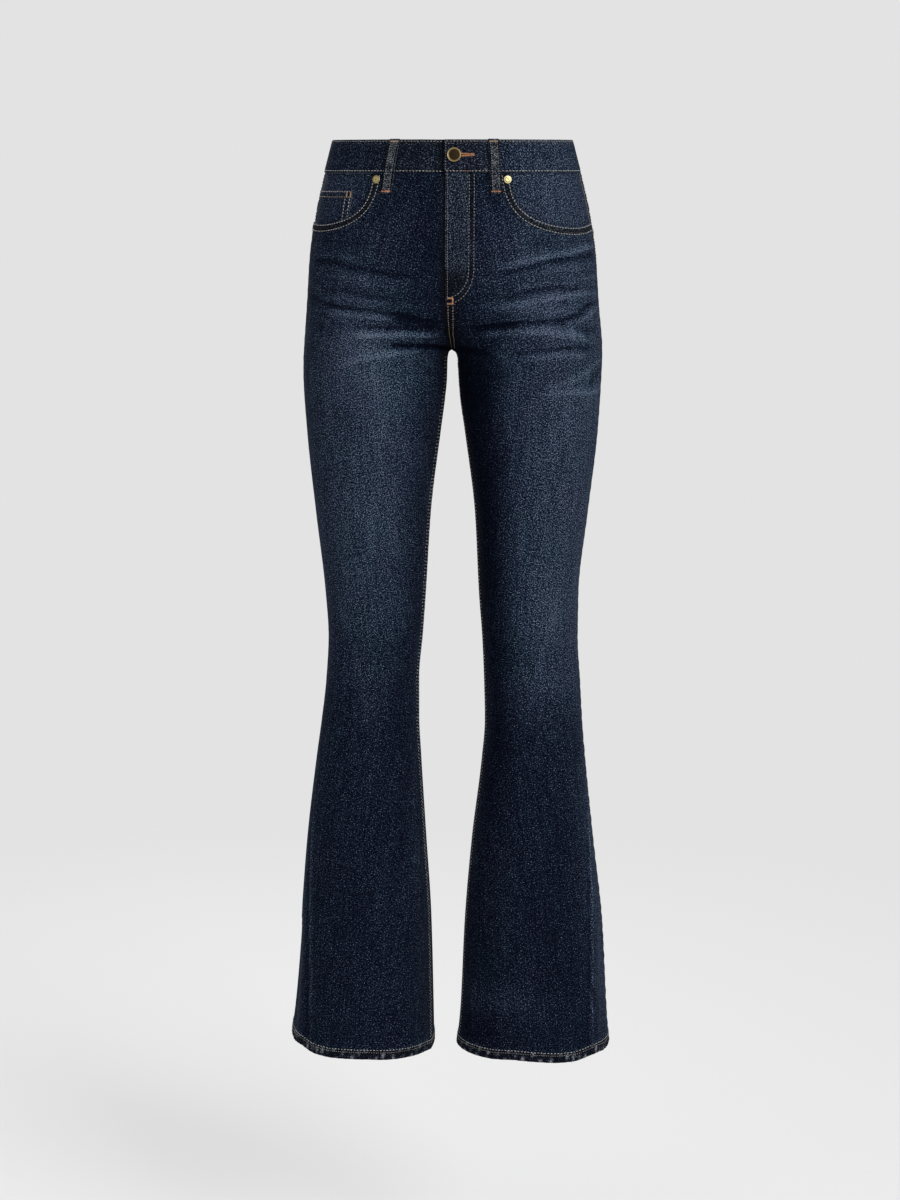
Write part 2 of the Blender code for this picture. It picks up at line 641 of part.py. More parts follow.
def make_back_pocket(side, collection):
    """A plain patch pocket with a pointed bottom."""
    spots = []
    for r in range(POCKET_ROWS + 1):
        row = []
        for c in range(POCKET_COLUMNS + 1):
            share = c / POCKET_COLUMNS
            along = POCKET_ALONG[0] + (POCKET_ALONG[1] - POCKET_ALONG[0]) * share
            narrow = 1.0 - POCKET_NARROWING * r / POCKET_ROWS
            middle = sum(POCKET_ALONG) / 2
            along = middle + (along - middle) * narrow
            length = POCKET_SIDE_LENGTH + (POCKET_POINT_LENGTH - POCKET_SIDE_LENGTH) * (1 - abs(2 * share - 1))
            drop = POCKET_TOP + length * r / POCKET_ROWS
            row.append((side, BACK, drop, along, POCKET_PROUD + POCKET_WALL, POCKET_PROUD))
        spots.append(row)
    wall_of_spots("back_pocket_left" if side == LEFT else "back_pocket_right", spots, INDIGO, collection)


def make_turned(name, profile, base, direction, finish, collection):
    """A turned metal piece whose axis stands on the cloth."""
    mesh = bpy.data.meshes.new(name)
    points = [(radius, 0.0, height) for radius, height in profile]
    mesh.from_pydata(points, [(i, i + 1) for i in range(len(points) - 1)], [])
    thing = add_object(name, mesh, finish, collection)
    screw = thing.modifiers.new("turn", "SCREW")
    screw.steps = TURN_STEPS
    screw.render_steps = TURN_STEPS
    screw.use_merge_vertices = True
    screw.merge_threshold = TURN_MERGE
    screw.use_smooth_shade = True
    thing.rotation_mode = "QUATERNION"
    thing.rotation_quaternion = Vector((0.0, 0.0, 1.0)).rotation_difference(direction)
    thing.location = base
    return thing


def make_metal(collection):
    """The waist button and the two rivets at the pocket mouths."""
    side, along = centre_front(BUTTON_ACROSS, BUTTON_DROP)
    normal = form_normal(side, FRONT, BUTTON_DROP, along / half_length(side, FRONT, BUTTON_DROP))
    base = cloth(side, FRONT, BUTTON_DROP, along, BAND_PROUD + SEAM_GAP)
    make_turned("button", BUTTON_PROFILE, base, normal, OLD_BRASS, collection)
    for side, name in ((LEFT, "rivet_left"), (RIGHT, "rivet_right")):
        along = RIVET_SHARE[side] * half_length(side, FRONT, RIVET_DROP)
        normal = form_normal(side, FRONT, RIVET_DROP, RIVET_SHARE[side])
        base = cloth(side, FRONT, RIVET_DROP, along, SEAM_GAP)
        make_turned(name, RIVET_PROFILE, base, normal, BRIGHT_BRASS, collection)


def build():
    """Clear the file and make the jeans."""
    for thing in list(bpy.data.objects):
        bpy.data.objects.remove(thing)
    collection = bpy.data.collections.new(COLLECTION)
    bpy.context.scene.collection.children.link(collection)
    for side in (LEFT, RIGHT):
        make_front(side, collection)
        make_back(side, collection)
        make_yoke(side, collection)
        make_bearer(side, collection)
        make_back_pocket(side, collection)
    make_coin_pocket(collection)
    make_waistband(collection)
    make_fly_strip("zip", ZIP_COLUMNS, ZIP_DEPTH, ZIP_BOTTOM, TAPE, collection)
    make_fly_strip("fly_shield", SHIELD_COLUMNS, SHIELD_DEPTH, SHIELD_BOTTOM, DARK_INDIGO, collection)
    for loop in LOOPS:
        make_belt_loop(loop, collection)
    make_metal(collection)


build()
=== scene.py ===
"""Flared jeans in washed indigo denim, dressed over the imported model.

Metres, +Z up. The front faces -Y and the wearer's left is +X. Heights are given as
drops below the waistband's top edge, and places round a leg as distances along the
cloth from the side seam.
"""
from __future__ import annotations

import logging
import math
from dataclasses import dataclass, field
from enum import Enum
from typing import Callable, Iterable, Sequence

import bpy
import numpy as np
from bpy.types import Material, Node, NodeSocket, NodeTree, Object
from mathutils import Matrix, Vector

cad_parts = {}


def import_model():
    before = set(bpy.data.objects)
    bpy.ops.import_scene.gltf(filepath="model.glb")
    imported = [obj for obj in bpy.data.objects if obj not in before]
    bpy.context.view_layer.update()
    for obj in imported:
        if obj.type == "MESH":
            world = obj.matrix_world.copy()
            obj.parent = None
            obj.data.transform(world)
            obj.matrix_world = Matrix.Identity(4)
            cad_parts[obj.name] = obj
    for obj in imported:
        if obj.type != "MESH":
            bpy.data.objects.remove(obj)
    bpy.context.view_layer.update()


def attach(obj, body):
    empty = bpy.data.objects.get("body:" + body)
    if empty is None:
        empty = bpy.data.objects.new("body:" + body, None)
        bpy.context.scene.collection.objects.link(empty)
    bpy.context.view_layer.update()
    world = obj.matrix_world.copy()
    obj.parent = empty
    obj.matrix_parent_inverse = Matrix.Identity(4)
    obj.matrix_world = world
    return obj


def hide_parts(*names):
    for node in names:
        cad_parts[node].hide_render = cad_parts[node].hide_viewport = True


LOG = logging.getLogger("jeans")
Array = np.ndarray
Triple = tuple[float, float, float]

WAIST_TOP = 0.020
BAND_HEIGHT = 0.0385
CROTCH_DROP = 0.2510
HEM_DROP = 1.120
SEAM_GAP = 0.0003
DENIM = 0.0016
HEM_FOLD = 0.013
FOLD_DROP = HEM_DROP - HEM_FOLD
BODY = "root"

# Drops of the rows that every leg panel has, just below the crotch and at the hem.
LEG_MARKS = (*(CROTCH_DROP + below for below in (0.0, 0.0004, 0.0009, 0.0016, 0.0025)),
             FOLD_DROP - 0.0008, FOLD_DROP + 0.0004, HEM_DROP - 0.0008, HEM_DROP)

# Distance of the second of two rows of stitches from a sewn edge.
SECOND_ROW = 0.0085

# Pitch of the roped hem's ridges, and of the puckers on the two long seams.
ROPE_PITCH = 0.0072
INSEAM_PITCH = 0.0125


class Side(Enum):
    """Wearer's side of the garment, as the sign of x."""

    LEFT = 1
    RIGHT = -1

    @property
    def word(self) -> str:
        """Name used in node names."""
        return self.name.lower()

    @property
    def other(self) -> "Side":
        """The opposite side."""
        return Side(-self.value)


class Face(Enum):
    """Front or back of the garment, as the sign of y."""

    FRONT = -1
    BACK = 1


class Held(Enum):
    """How a piece of cloth is held."""

    HUNG = "hung"
    STRETCHED = "stretched"


def ease(value: Array | float) -> Array:
    """Smooth step from 0 to 1."""
    value = np.clip(value, 0.0, 1.0)
    return value * value * (3.0 - 2.0 * value)


def bell(value: Array | float, width: float) -> Array:
    """Bell curve of height 1 and the given half width."""
    return np.exp(-(np.asarray(value) / width) ** 2)


def scatter(across: Array, down: Array, seed: float) -> Array:
    """Smooth random field over columns of cells of unit size, each column shifted by its own amount.

    Args:
        across: Places across, in cells.
        down: Places down, in cells.
        seed: Number that sets the field apart from others.

    Returns:
        Values from -1 to 1.
    """

    def chance(first: Array, second: Array | float) -> Array:
        """Fixed random number for a pair of whole numbers."""
        return np.modf(np.abs(np.sin(first * 12.9898 + second * 78.233 + seed)) * 43758.5453)[0]

    def column(number: Array) -> Array:
        """Smooth values down one column.

        Args:
            number: Number of the column at each place.

        Returns:
            Values at the places.
        """
        shifted = down + chance(number, 0.5)
        top = np.floor(shifted)
        under = ease(shifted - top)
        return chance(number, top) * (1.0 - under) + chance(number, top + 1.0) * under

    left = np.floor(across)
    over = ease(across - left)
    return 2.0 * (column(left) * (1.0 - over) + column(left + 1.0) * over) - 1.0


def smooth_column(drops: Array, values: Array) -> Callable[[Array], Array]:
    """Make a table column a smooth function of drop that never overshoots.

    Args:
        drops: Drops of the table's rows.
        values: The column's values.

    Returns:
        A function from an array of drops to an array of values.
    """
    steps = np.diff(values) / np.diff(drops)
    slopes = np.concatenate(([steps[0]], np.zeros(len(steps) - 1), [steps[-1]]))
    for index in range(1, len(steps)):
        before, after = steps[index - 1], steps[index]
        if before * after > 0.0:
            slopes[index] = 2.0 * before * after / (before + after)

    def value(drop: Array) -> Array:
        """Value of the column at each drop.

        Args:
            drop: Drops, kept within the table's.

        Returns:
            The values.
        """
        drop = np.clip(drop, drops[0], drops[-1])
        index = np.clip(np.searchsorted(drops, drop, side="right") - 1, 0, len(steps) - 1)
        span = drops[index + 1] - drops[index]
        t = (drop - drops[index]) / span
        rest = 1.0 - t
        return (values[index] * (1.0 + 2.0 * t) * rest * rest + slopes[index] * span * t * rest * rest
                + values[index + 1] * t * t * (3.0 - 2.0 * t) - slopes[index + 1] * span * t * t * rest)

    return value


@dataclass(frozen=True)
class Stroke:
    """A crease or a streak of wear along a path on the cloth; the darker ones are partly painted shade in their
    hollows.

    Attributes:
        path: Points as (drop, share of the way from the side seam).
        width: Half width in metres.
        height: How far it stands out, or sinks in if negative.
        fade: How much lighter wear makes it, or darker if negative, partly as painted shade.
    """

    path: tuple[tuple[float, float], ...]
    width: float
    height: float
    fade: float

    def strength(self, drop: Array, along: Array, length: Callable[[Array], Array]) -> tuple[Array, Array]:
        """How strongly it acts. Its upper edge is the sharper one where it is lighter, else its lower edge.

        Args:
            drop: Drops of the points.
            along: Their distances from the side seam.
            length: Gives the cloth's length at each drop.

        Returns:
            A mask of the points near it, and its strength at those, from 0 to 1.
        """
        path = np.array(self.path)
        knots = np.arange(len(path))
        fine = np.linspace(0.0, len(path) - 1.0, 6 * len(path))
        ups = np.interp(fine, knots, path[:, 0])
        overs = np.interp(fine, knots, path[:, 1] * length(path[:, 0]))
        reach = 3.0 * self.width
        near = ((drop > ups.min() - reach) & (drop < ups.max() + reach)
                & (along > overs.min() - reach) & (along < overs.max() + reach))
        below, beside = drop[near][:, None] - ups, along[near][:, None] - overs
        way = fine[np.hypot(below, beside).argmin(axis=1)] / fine[-1]
        run_d, run_a = np.diff(ups), np.diff(overs)
        below, beside = below[:, :-1], beside[:, :-1]
        t = ((below * run_d + beside * run_a) / (run_d ** 2 + run_a ** 2)).clip(0.0, 1.0)
        below = below - t * run_d
        gaps = np.hypot(below, beside - t * run_a)
        pick = gaps.argmin(axis=1)[:, None]
        gap = np.take_along_axis(gaps, pick, axis=1)[:, 0]
        under = np.take_along_axis(below, pick, axis=1)[:, 0] * (1.0 if self.fade > 0.0 else -1.0)
        width = self.width * (1.0 - 0.38 * np.clip(under / self.width * 2.0, -1.0, 1.0))
        return near, bell(gap, width) * ease(0.25 + way * 4.0) * ease(0.25 + (1.0 - way) * 4.0)


@dataclass(frozen=True)
class Wash:
    """A broad lighter or darker patch: its middle and half sizes as drop and share, and its strength.

    A higher power gives it a flatter middle and a quicker edge.
    """

    drop: float
    share: float
    drop_half: float
    share_half: float
    fade: float
    power: float = 2.0

    def strength(self, drop: Array, share: Array) -> Array:
        """How strongly it acts at each place, from 0 to 1."""
        return np.exp(-np.abs((drop - self.drop) / self.drop_half) ** self.power
                      - np.abs((share - self.share) / self.share_half) ** self.power)


L, R, FRONT, BACK = Side.LEFT, Side.RIGHT, Face.FRONT, Face.BACK

# Creases and streaks of each quarter. Lighter ones are wear on the ridges; darker ones sink in, and their
# darkness is partly painted shade in the hollow.
STROKES = {
    (R, FRONT): (
        # Hip creases, from the fly outwards.
        Stroke(((0.134, 0.16), (0.136, 0.32), (0.141, 0.52)), 0.0045, 0.0006, 0.10),
        Stroke(((0.142, 0.14), (0.142, 0.30), (0.149, 0.50), (0.155, 0.70), (0.161, 0.88)),
                0.0028, -0.0009, -0.20),
        Stroke(((0.158, 0.30), (0.164, 0.52), (0.169, 0.66), (0.176, 0.76)), 0.0065, 0.0006, 0.12),
        Stroke(((0.175, 0.26), (0.177, 0.46), (0.183, 0.66), (0.190, 0.80)), 0.0030, -0.0006, -0.13),
        Stroke(((0.184, 0.10), (0.186, 0.20), (0.189, 0.28)), 0.0060, -0.0006, -0.16),
        Stroke(((0.187, 0.36), (0.189, 0.56), (0.194, 0.72)), 0.0045, 0.0007, 0.12),
        Stroke(((0.190, 0.26), (0.196, 0.44), (0.199, 0.62), (0.203, 0.76), (0.206, 0.84)),
                0.0026, -0.0013, -0.30),
        Stroke(((0.203, 0.34), (0.205, 0.50), (0.207, 0.64), (0.211, 0.78)), 0.0050, 0.0009, 0.22),
        Stroke(((0.204, 0.72), (0.209, 0.84), (0.216, 0.97)), 0.0070, -0.0010, -0.34),
        Stroke(((0.217, 0.56), (0.219, 0.72), (0.221, 0.98)), 0.0030, -0.0009, -0.22),
        Stroke(((0.230, 0.48), (0.229, 0.62), (0.228, 0.78), (0.230, 0.94)), 0.0044, 0.0016, 0.34),
        Stroke(((0.239, 0.62), (0.240, 0.72), (0.242, 0.82), (0.248, 0.96)), 0.0030, -0.0018, -0.52),
        Stroke(((0.266, 0.36), (0.257, 0.48), (0.249, 0.62), (0.247, 0.76)), 0.0050, 0.0010, 0.18),
        Stroke(((0.216, 0.24), (0.222, 0.34), (0.236, 0.40)), 0.0050, -0.0006, -0.09),
        # Soft breaks at the knee.
        Stroke(((0.600, 0.20), (0.612, 0.50), (0.603, 0.82)), 0.014, -0.0012, -0.03),
        Stroke(((0.640, 0.30), (0.652, 0.55), (0.640, 0.85)), 0.016, 0.0012, 0.02),
        # The pressed edge and the drape of the flare.
        Stroke(((0.780, 0.19), (0.900, 0.245), (1.006, 0.289), (1.057, 0.301), (1.125, 0.318)),
                0.0016, 0.0015, 0.34),
        Stroke(((0.800, 0.17), (0.900, 0.215), (1.006, 0.262), (1.125, 0.295)), 0.0030, -0.0010, -0.14),
        Stroke(((0.960, 0.12), (1.040, 0.14), (1.125, 0.16)), 0.016, -0.0030, 0.0),
        Stroke(((0.900, 0.74), (1.000, 0.77), (1.125, 0.80)), 0.014, 0.0020, 0.02),
    ),
    (L, FRONT): (
        # Hip creases, which fan out to the side seam.
        Stroke(((0.125, 0.02), (0.127, 0.14), (0.132, 0.28), (0.136, 0.42), (0.142, 0.56), (0.150, 0.72)),
                0.0040, 0.0010, 0.26),
        Stroke(((0.134, 0.04), (0.137, 0.24), (0.141, 0.46), (0.149, 0.58), (0.155, 0.74)),
                0.0028, -0.0011, -0.22),
        Stroke(((0.149, 0.20), (0.151, 0.36), (0.156, 0.50)), 0.0048, 0.0006, 0.12),
        Stroke(((0.163, 0.04), (0.163, 0.20), (0.166, 0.34)), 0.0025, 0.0005, 0.09),
        Stroke(((0.173, 0.02), (0.175, 0.22), (0.171, 0.44), (0.177, 0.60), (0.186, 0.74)),
                0.0034, -0.0010, -0.20),
        Stroke(((0.181, 0.02), (0.180, 0.22), (0.183, 0.38), (0.189, 0.54), (0.194, 0.68), (0.199, 0.82)),
                0.0050, 0.0012, 0.22),
        Stroke(((0.198, 0.34), (0.200, 0.50), (0.203, 0.68)), 0.0045, 0.0007, 0.12),
        Stroke(((0.190, 0.06), (0.194, 0.20), (0.204, 0.28), (0.210, 0.40), (0.212, 0.58), (0.215, 0.70),
                (0.218, 0.86)), 0.0034, -0.0015, -0.30),
        Stroke(((0.213, 0.62), (0.216, 0.74), (0.219, 0.88)), 0.0048, -0.0008, -0.30),
        Stroke(((0.198, 0.04), (0.202, 0.13), (0.210, 0.22), (0.216, 0.32)), 0.0028, 0.0009, 0.17),
        Stroke(((0.222, 0.10), (0.224, 0.20), (0.219, 0.30)), 0.0045, -0.0009, -0.16),
        Stroke(((0.236, 0.20), (0.230, 0.32), (0.224, 0.48), (0.224, 0.66), (0.228, 0.84)),
                0.0062, 0.0014, 0.24),
        Stroke(((0.244, 0.14), (0.243, 0.34), (0.246, 0.48), (0.250, 0.56)), 0.0030, -0.0014, -0.22),
        Stroke(((0.252, 0.62), (0.247, 0.72), (0.244, 0.90)), 0.0040, -0.0012, -0.30),
        Stroke(((0.256, 0.20), (0.252, 0.34), (0.255, 0.50)), 0.0050, 0.0009, 0.16),
        Stroke(((0.259, 0.04), (0.266, 0.14), (0.277, 0.22), (0.286, 0.32), (0.290, 0.44)),
                0.0034, 0.0010, 0.15),
        Stroke(((0.268, 0.02), (0.279, 0.12), (0.290, 0.20)), 0.0050, -0.0009, -0.14),
        Stroke(((0.298, 0.02), (0.300, 0.18), (0.297, 0.32), (0.299, 0.44)), 0.0042, 0.0010, 0.19),
        # Soft breaks at the knee.
        Stroke(((0.610, 0.18), (0.622, 0.45), (0.612, 0.80)), 0.015, -0.0013, -0.03),
        Stroke(((0.655, 0.22), (0.664, 0.50), (0.655, 0.84)), 0.016, 0.0012, 0.02),
        # The pressed edge and the drape of the flare.
        Stroke(((0.780, 0.07), (0.900, 0.165), (0.962, 0.200), (1.036, 0.228), (1.125, 0.250)),
                0.0016, 0.0015, 0.34),
        Stroke(((0.800, 0.11), (0.900, 0.195), (0.962, 0.228), (1.125, 0.276)), 0.0024, -0.0008, -0.12),
        Stroke(((0.960, 0.09), (1.040, 0.12), (1.125, 0.14)), 0.016, -0.0030, 0.0),
        Stroke(((0.930, 0.70), (1.020, 0.74), (1.125, 0.76)), 0.015, -0.0018, -0.02),
    ),
    (R, BACK): (
        # Under the seat.
        Stroke(((0.262, 0.30), (0.282, 0.60), (0.276, 0.86)), 0.007, 0.0018, 0.22),
        Stroke(((0.290, 0.22), (0.309, 0.62), (0.300, 0.92)), 0.005, -0.0030, -0.30),
        Stroke(((0.317, 0.46), (0.325, 0.70), (0.318, 0.90)), 0.006, 0.0014, 0.16),
        Stroke(((0.330, 0.36), (0.343, 0.66), (0.334, 0.92)), 0.004, -0.0020, -0.22),
        # Behind the knee.
        Stroke(((0.566, 0.15), (0.578, 0.50), (0.570, 0.84)), 0.006, -0.0016, -0.12),
        Stroke(((0.592, 0.20), (0.590, 0.50), (0.598, 0.80)), 0.006, 0.0014, 0.13),
        Stroke(((0.612, 0.16), (0.604, 0.46), (0.618, 0.86)), 0.005, -0.0026, -0.24),
        Stroke(((0.640, 0.24), (0.655, 0.52), (0.640, 0.80)), 0.007, -0.0018, -0.12),
        # Down the flare.
        Stroke(((0.860, 0.27), (1.000, 0.33), (1.125, 0.37)), 0.010, 0.0032, 0.07),
        Stroke(((0.930, 0.64), (1.030, 0.67), (1.125, 0.70)), 0.013, -0.0032, -0.06),
    ),
    (L, BACK): (
        # Under the seat.
        Stroke(((0.258, 0.34), (0.279, 0.58), (0.272, 0.90)), 0.007, 0.0018, 0.22),
        Stroke(((0.286, 0.18), (0.304, 0.55), (0.297, 0.90)), 0.005, -0.0030, -0.30),
        Stroke(((0.313, 0.40), (0.319, 0.62), (0.314, 0.84)), 0.006, 0.0014, 0.15),
        Stroke(((0.324, 0.42), (0.335, 0.70), (0.325, 0.94)), 0.004, -0.0019, -0.22),
        # Behind the knee.
        Stroke(((0.572, 0.18), (0.568, 0.52), (0.580, 0.86)), 0.006, -0.0015, -0.11),
        Stroke(((0.598, 0.16), (0.606, 0.50), (0.594, 0.78)), 0.006, 0.0014, 0.13),
        Stroke(((0.618, 0.20), (0.628, 0.54), (0.612, 0.88)), 0.005, -0.0026, -0.24),
        Stroke(((0.652, 0.26), (0.646, 0.50), (0.660, 0.82)), 0.007, -0.0017, -0.12),
        # Down the flare.
        Stroke(((0.880, 0.36), (1.000, 0.32), (1.125, 0.30)), 0.011, 0.0032, 0.07),
        Stroke(((0.950, 0.60), (1.040, 0.64), (1.125, 0.66)), 0.013, -0.0032, -0.06),
    ),
}

# Broad lighter and darker patches of each quarter; the darker ones marked below are painted shade.
WASHES = {
    (R, FRONT): (
        Wash(0.160, 0.45, 0.085, 0.46, 0.09, 4.0),
        Wash(0.430, 0.38, 0.215, 0.42, 0.21, 5.0),
        Wash(0.440, 0.50, 0.060, 0.14, 0.04),
        Wash(0.350, 0.56, 0.190, 0.13, 0.09),
        Wash(0.276, 0.48, 0.034, 0.20, 0.14),
        Wash(0.238, 0.46, 0.014, 0.13, 0.12),
        Wash(0.205, 0.60, 0.045, 0.22, 0.07),
        # Painted shadow beside the fly's lap.
        Wash(0.160, 0.94, 0.075, 0.12, -0.12),
        Wash(0.228, 0.92, 0.028, 0.12, 0.09),
        Wash(0.480, 0.90, 0.200, 0.10, 0.07),
        # Painted shade towards the side edge.
        Wash(0.350, 0.14, 0.150, 0.08, -0.06),
        Wash(0.700, 0.55, 0.045, 0.09, 0.08),
        Wash(0.940, 0.13, 0.230, 0.13, 0.13),
        Wash(0.900, 0.90, 0.230, 0.09, 0.10),
    ),
    (L, FRONT): (
        Wash(0.222, 0.90, 0.030, 0.10, 0.07),
        Wash(0.150, 0.28, 0.095, 0.42, 0.22, 4.0),
        Wash(0.160, 0.75, 0.080, 0.18, 0.08),
        Wash(0.440, 0.26, 0.225, 0.38, 0.28, 5.0),
        Wash(0.300, 0.22, 0.050, 0.22, 0.05),
        Wash(0.570, 0.36, 0.060, 0.11, 0.06),
        # The next two are painted shade on the inner thigh, between the legs.
        Wash(0.420, 0.85, 0.200, 0.22, -0.19, 4.0),
        Wash(0.285, 0.78, 0.040, 0.17, -0.20, 4.0),
        Wash(0.670, 0.36, 0.045, 0.20, 0.09),
        Wash(0.750, 0.74, 0.100, 0.11, -0.14),
        Wash(0.930, 0.09, 0.230, 0.13, 0.25),
        Wash(0.950, 0.42, 0.130, 0.14, -0.06),
        Wash(1.048, 0.66, 0.020, 0.24, 0.12),
        # Painted shade along the inseam, between the legs.
        Wash(0.600, 1.00, 0.500, 0.10, -0.16, 4.0),
        Wash(1.092, 0.82, 0.022, 0.16, -0.12),
    ),
    (R, BACK): (
        Wash(0.175, 0.60, 0.075, 0.34, 0.20),
        Wash(0.430, 0.48, 0.200, 0.36, 0.22, 4.0),
        # Painted shade along the inseam, between the legs.
        Wash(0.360, 1.00, 0.180, 0.14, -0.14),
    ),
    (L, BACK): (
        Wash(0.175, 0.60, 0.075, 0.34, 0.20),
        Wash(0.430, 0.46, 0.200, 0.36, 0.24, 4.0),
        Wash(0.320, 0.00, 0.240, 0.16, 0.17, 4.0),
        # Painted shade along the inseam, between the legs.
        Wash(0.360, 1.00, 0.180, 0.14, -0.18),
    ),
}


@dataclass(frozen=True)
class Quarter:
    """A quarter of the form as a grid: its drops, lengths, points and normals."""

    drops: Array
    lengths: Array
    points: Array
    normals: Array


@dataclass
class Form:
    """The smooth shape that all the cloth follows.

    Attributes:
        names: Column names of the table.
        levels: Level sections from the waist to the hem.
        gaps: Drops with the right and the left leg's distance from the middle.
        toe_out: Outward turn of each leg at the hem, in degrees.
        hem_falls: Shares of the front's width at each hem, with how far the hem hangs above level there.
        front_rise: Height over which the front rounds in to the crotch.
        back_rise: The same of the back.
        plain_fade: Fade of the cloth where wear has not lightened it.
        fade_scale: Strength of all the strokes and washes.
        edge_power: How sharply the cloth turns in to the centre seam above the crotch.
        edge_reach: Drop below the crotch over which that turn fades out.
        samples: Points across a quarter of the lookup grid.
        section_steps: Steps of each half of a quarter's section.
        row_pitch: Distance between the lookup grid's rows.
        crotch_reach: How far above and below the crotch the rows are closer.
    """

    names: str = "right_outer left_outer side_y front back right_crest left_crest square"
    levels: tuple[tuple[float, ...], ...] = (
        (0.000, 0.1440, 0.1440, 0.000, 0.0830, 0.0830, 0.000, 0.000, 2.00),
        (0.040, 0.1545, 0.1545, 0.000, 0.0885, 0.0900, 0.000, 0.000, 2.00),
        (0.085, 0.1650, 0.1650, 0.001, 0.0935, 0.1040, 0.020, 0.020, 2.00),
        (0.135, 0.1730, 0.1730, 0.002, 0.0970, 0.1160, 0.120, 0.120, 2.00),
        (0.195, 0.1775, 0.1775, 0.004, 0.0985, 0.1200, 0.310, 0.310, 2.00),
        (0.2535, 0.1822, 0.1822, 0.006, 0.0980, 0.1130, 0.455, 0.455, 2.00),
        (0.260, 0.1826, 0.1822, 0.006, 0.0975, 0.1115, 0.465, 0.465, 2.00),
        (0.280, 0.1830, 0.1816, 0.006, 0.0955, 0.1060, 0.490, 0.490, 2.00),
        (0.350, 0.1790, 0.1777, 0.005, 0.0905, 0.0900, 0.500, 0.500, 2.02),
        (0.450, 0.1686, 0.1666, 0.003, 0.0820, 0.0770, 0.500, 0.500, 2.05),
        (0.550, 0.1570, 0.1562, 0.000, 0.0715, 0.0680, 0.500, 0.500, 2.10),
        (0.605, 0.1536, 0.1558, -0.001, 0.0675, 0.0650, 0.500, 0.500, 2.12),
        (0.660, 0.1565, 0.1592, -0.003, 0.0655, 0.0645, 0.500, 0.500, 2.15),
        (0.710, 0.1622, 0.1623, -0.005, 0.0660, 0.0660, 0.500, 0.500, 2.18),
        (0.760, 0.1690, 0.1668, -0.007, 0.0690, 0.0690, 0.500, 0.500, 2.20),
        (0.860, 0.1806, 0.1777, -0.011, 0.0755, 0.0750, 0.500, 0.500, 2.25),
        (0.965, 0.1886, 0.1901, -0.015, 0.0820, 0.0805, 0.480, 0.520, 2.30),
        (1.072, 0.1966, 0.1965, -0.018, 0.0870, 0.0855, 0.440, 0.555, 2.30),
        (1.120, 0.2018, 0.2000, -0.020, 0.0885, 0.0880, 0.420, 0.570, 2.30),
    )
    gaps: tuple[Triple, ...] = (
        (0.2510, 0.0000, 0.0000),
        (0.2530, 0.0034, 0.0038),
        (0.2560, 0.0054, 0.0058),
        (0.2640, 0.0069, 0.0073),
        (0.2870, 0.0073, 0.0086),
        (0.3100, 0.0094, 0.0104),
        (0.350, 0.0146, 0.0160),
        (0.450, 0.0268, 0.0287),
        (0.550, 0.0330, 0.0340),
        (0.605, 0.0370, 0.0382),
        (0.660, 0.0417, 0.0408),
        (0.710, 0.0417, 0.0420),
        (0.760, 0.0392, 0.0382),
        (0.860, 0.0331, 0.0264),
        (0.965, 0.0267, 0.0179),
        (1.072, 0.0241, 0.0131),
        (1.120, 0.0232, 0.0086),
    )
    toe_out: dict[Side, float] = field(default_factory=lambda: {R: 9.0, L: 4.0})
    hem_falls: dict[Side, tuple[tuple[float, ...], ...]] = field(default_factory=lambda: {
        R: ((0.0, 0.04, 0.08, 0.12, 0.26, 0.34, 0.42, 0.60, 0.78, 0.92, 1.0),
            (0.0084, 0.0078, 0.0054, 0.0023, 0.0024, -0.0027, -0.0036, -0.0012, -0.0040, -0.0085, -0.0134)),
        L: ((0.0, 0.12, 0.16, 0.20, 0.26, 0.34, 0.42, 0.60, 0.70, 0.86, 1.0),
            (-0.0005, -0.0010, 0.0006, 0.0027, 0.0027, -0.0007, -0.0009, 0.0017, -0.0008, -0.0013, -0.0043)),
        })
    front_rise: float = 0.075
    back_rise: float = 0.105
    plain_fade: float = 0.190
    fade_scale: float = 1.10
    edge_power: float = 5.0
    edge_reach: float = 0.100
    samples: int = 321
    section_steps: int = 120
    row_pitch: float = 0.0025
    crotch_reach: float = 0.012

    def __post_init__(self) -> None:
        """Make the column curves and the four lookup grids."""
        self.curves = {}
        for rows, names in ((self.levels, self.names), (self.gaps, "right_inner left_inner")):
            table = np.array(rows)
            for index, name in enumerate(names.split()):
                self.curves[name] = smooth_column(table[:, 0], table[:, index + 1])
        near = np.linspace(CROTCH_DROP - self.crotch_reach, CROTCH_DROP + self.crotch_reach, 49)
        even = np.arange(-0.002, HEM_DROP + self.row_pitch, self.row_pitch)
        drops = np.unique(np.round(np.concatenate((even, near, [HEM_DROP])), 6))
        self.quarters = {(side, face): self._quarter(side, face, drops) for side in Side for face in Face}

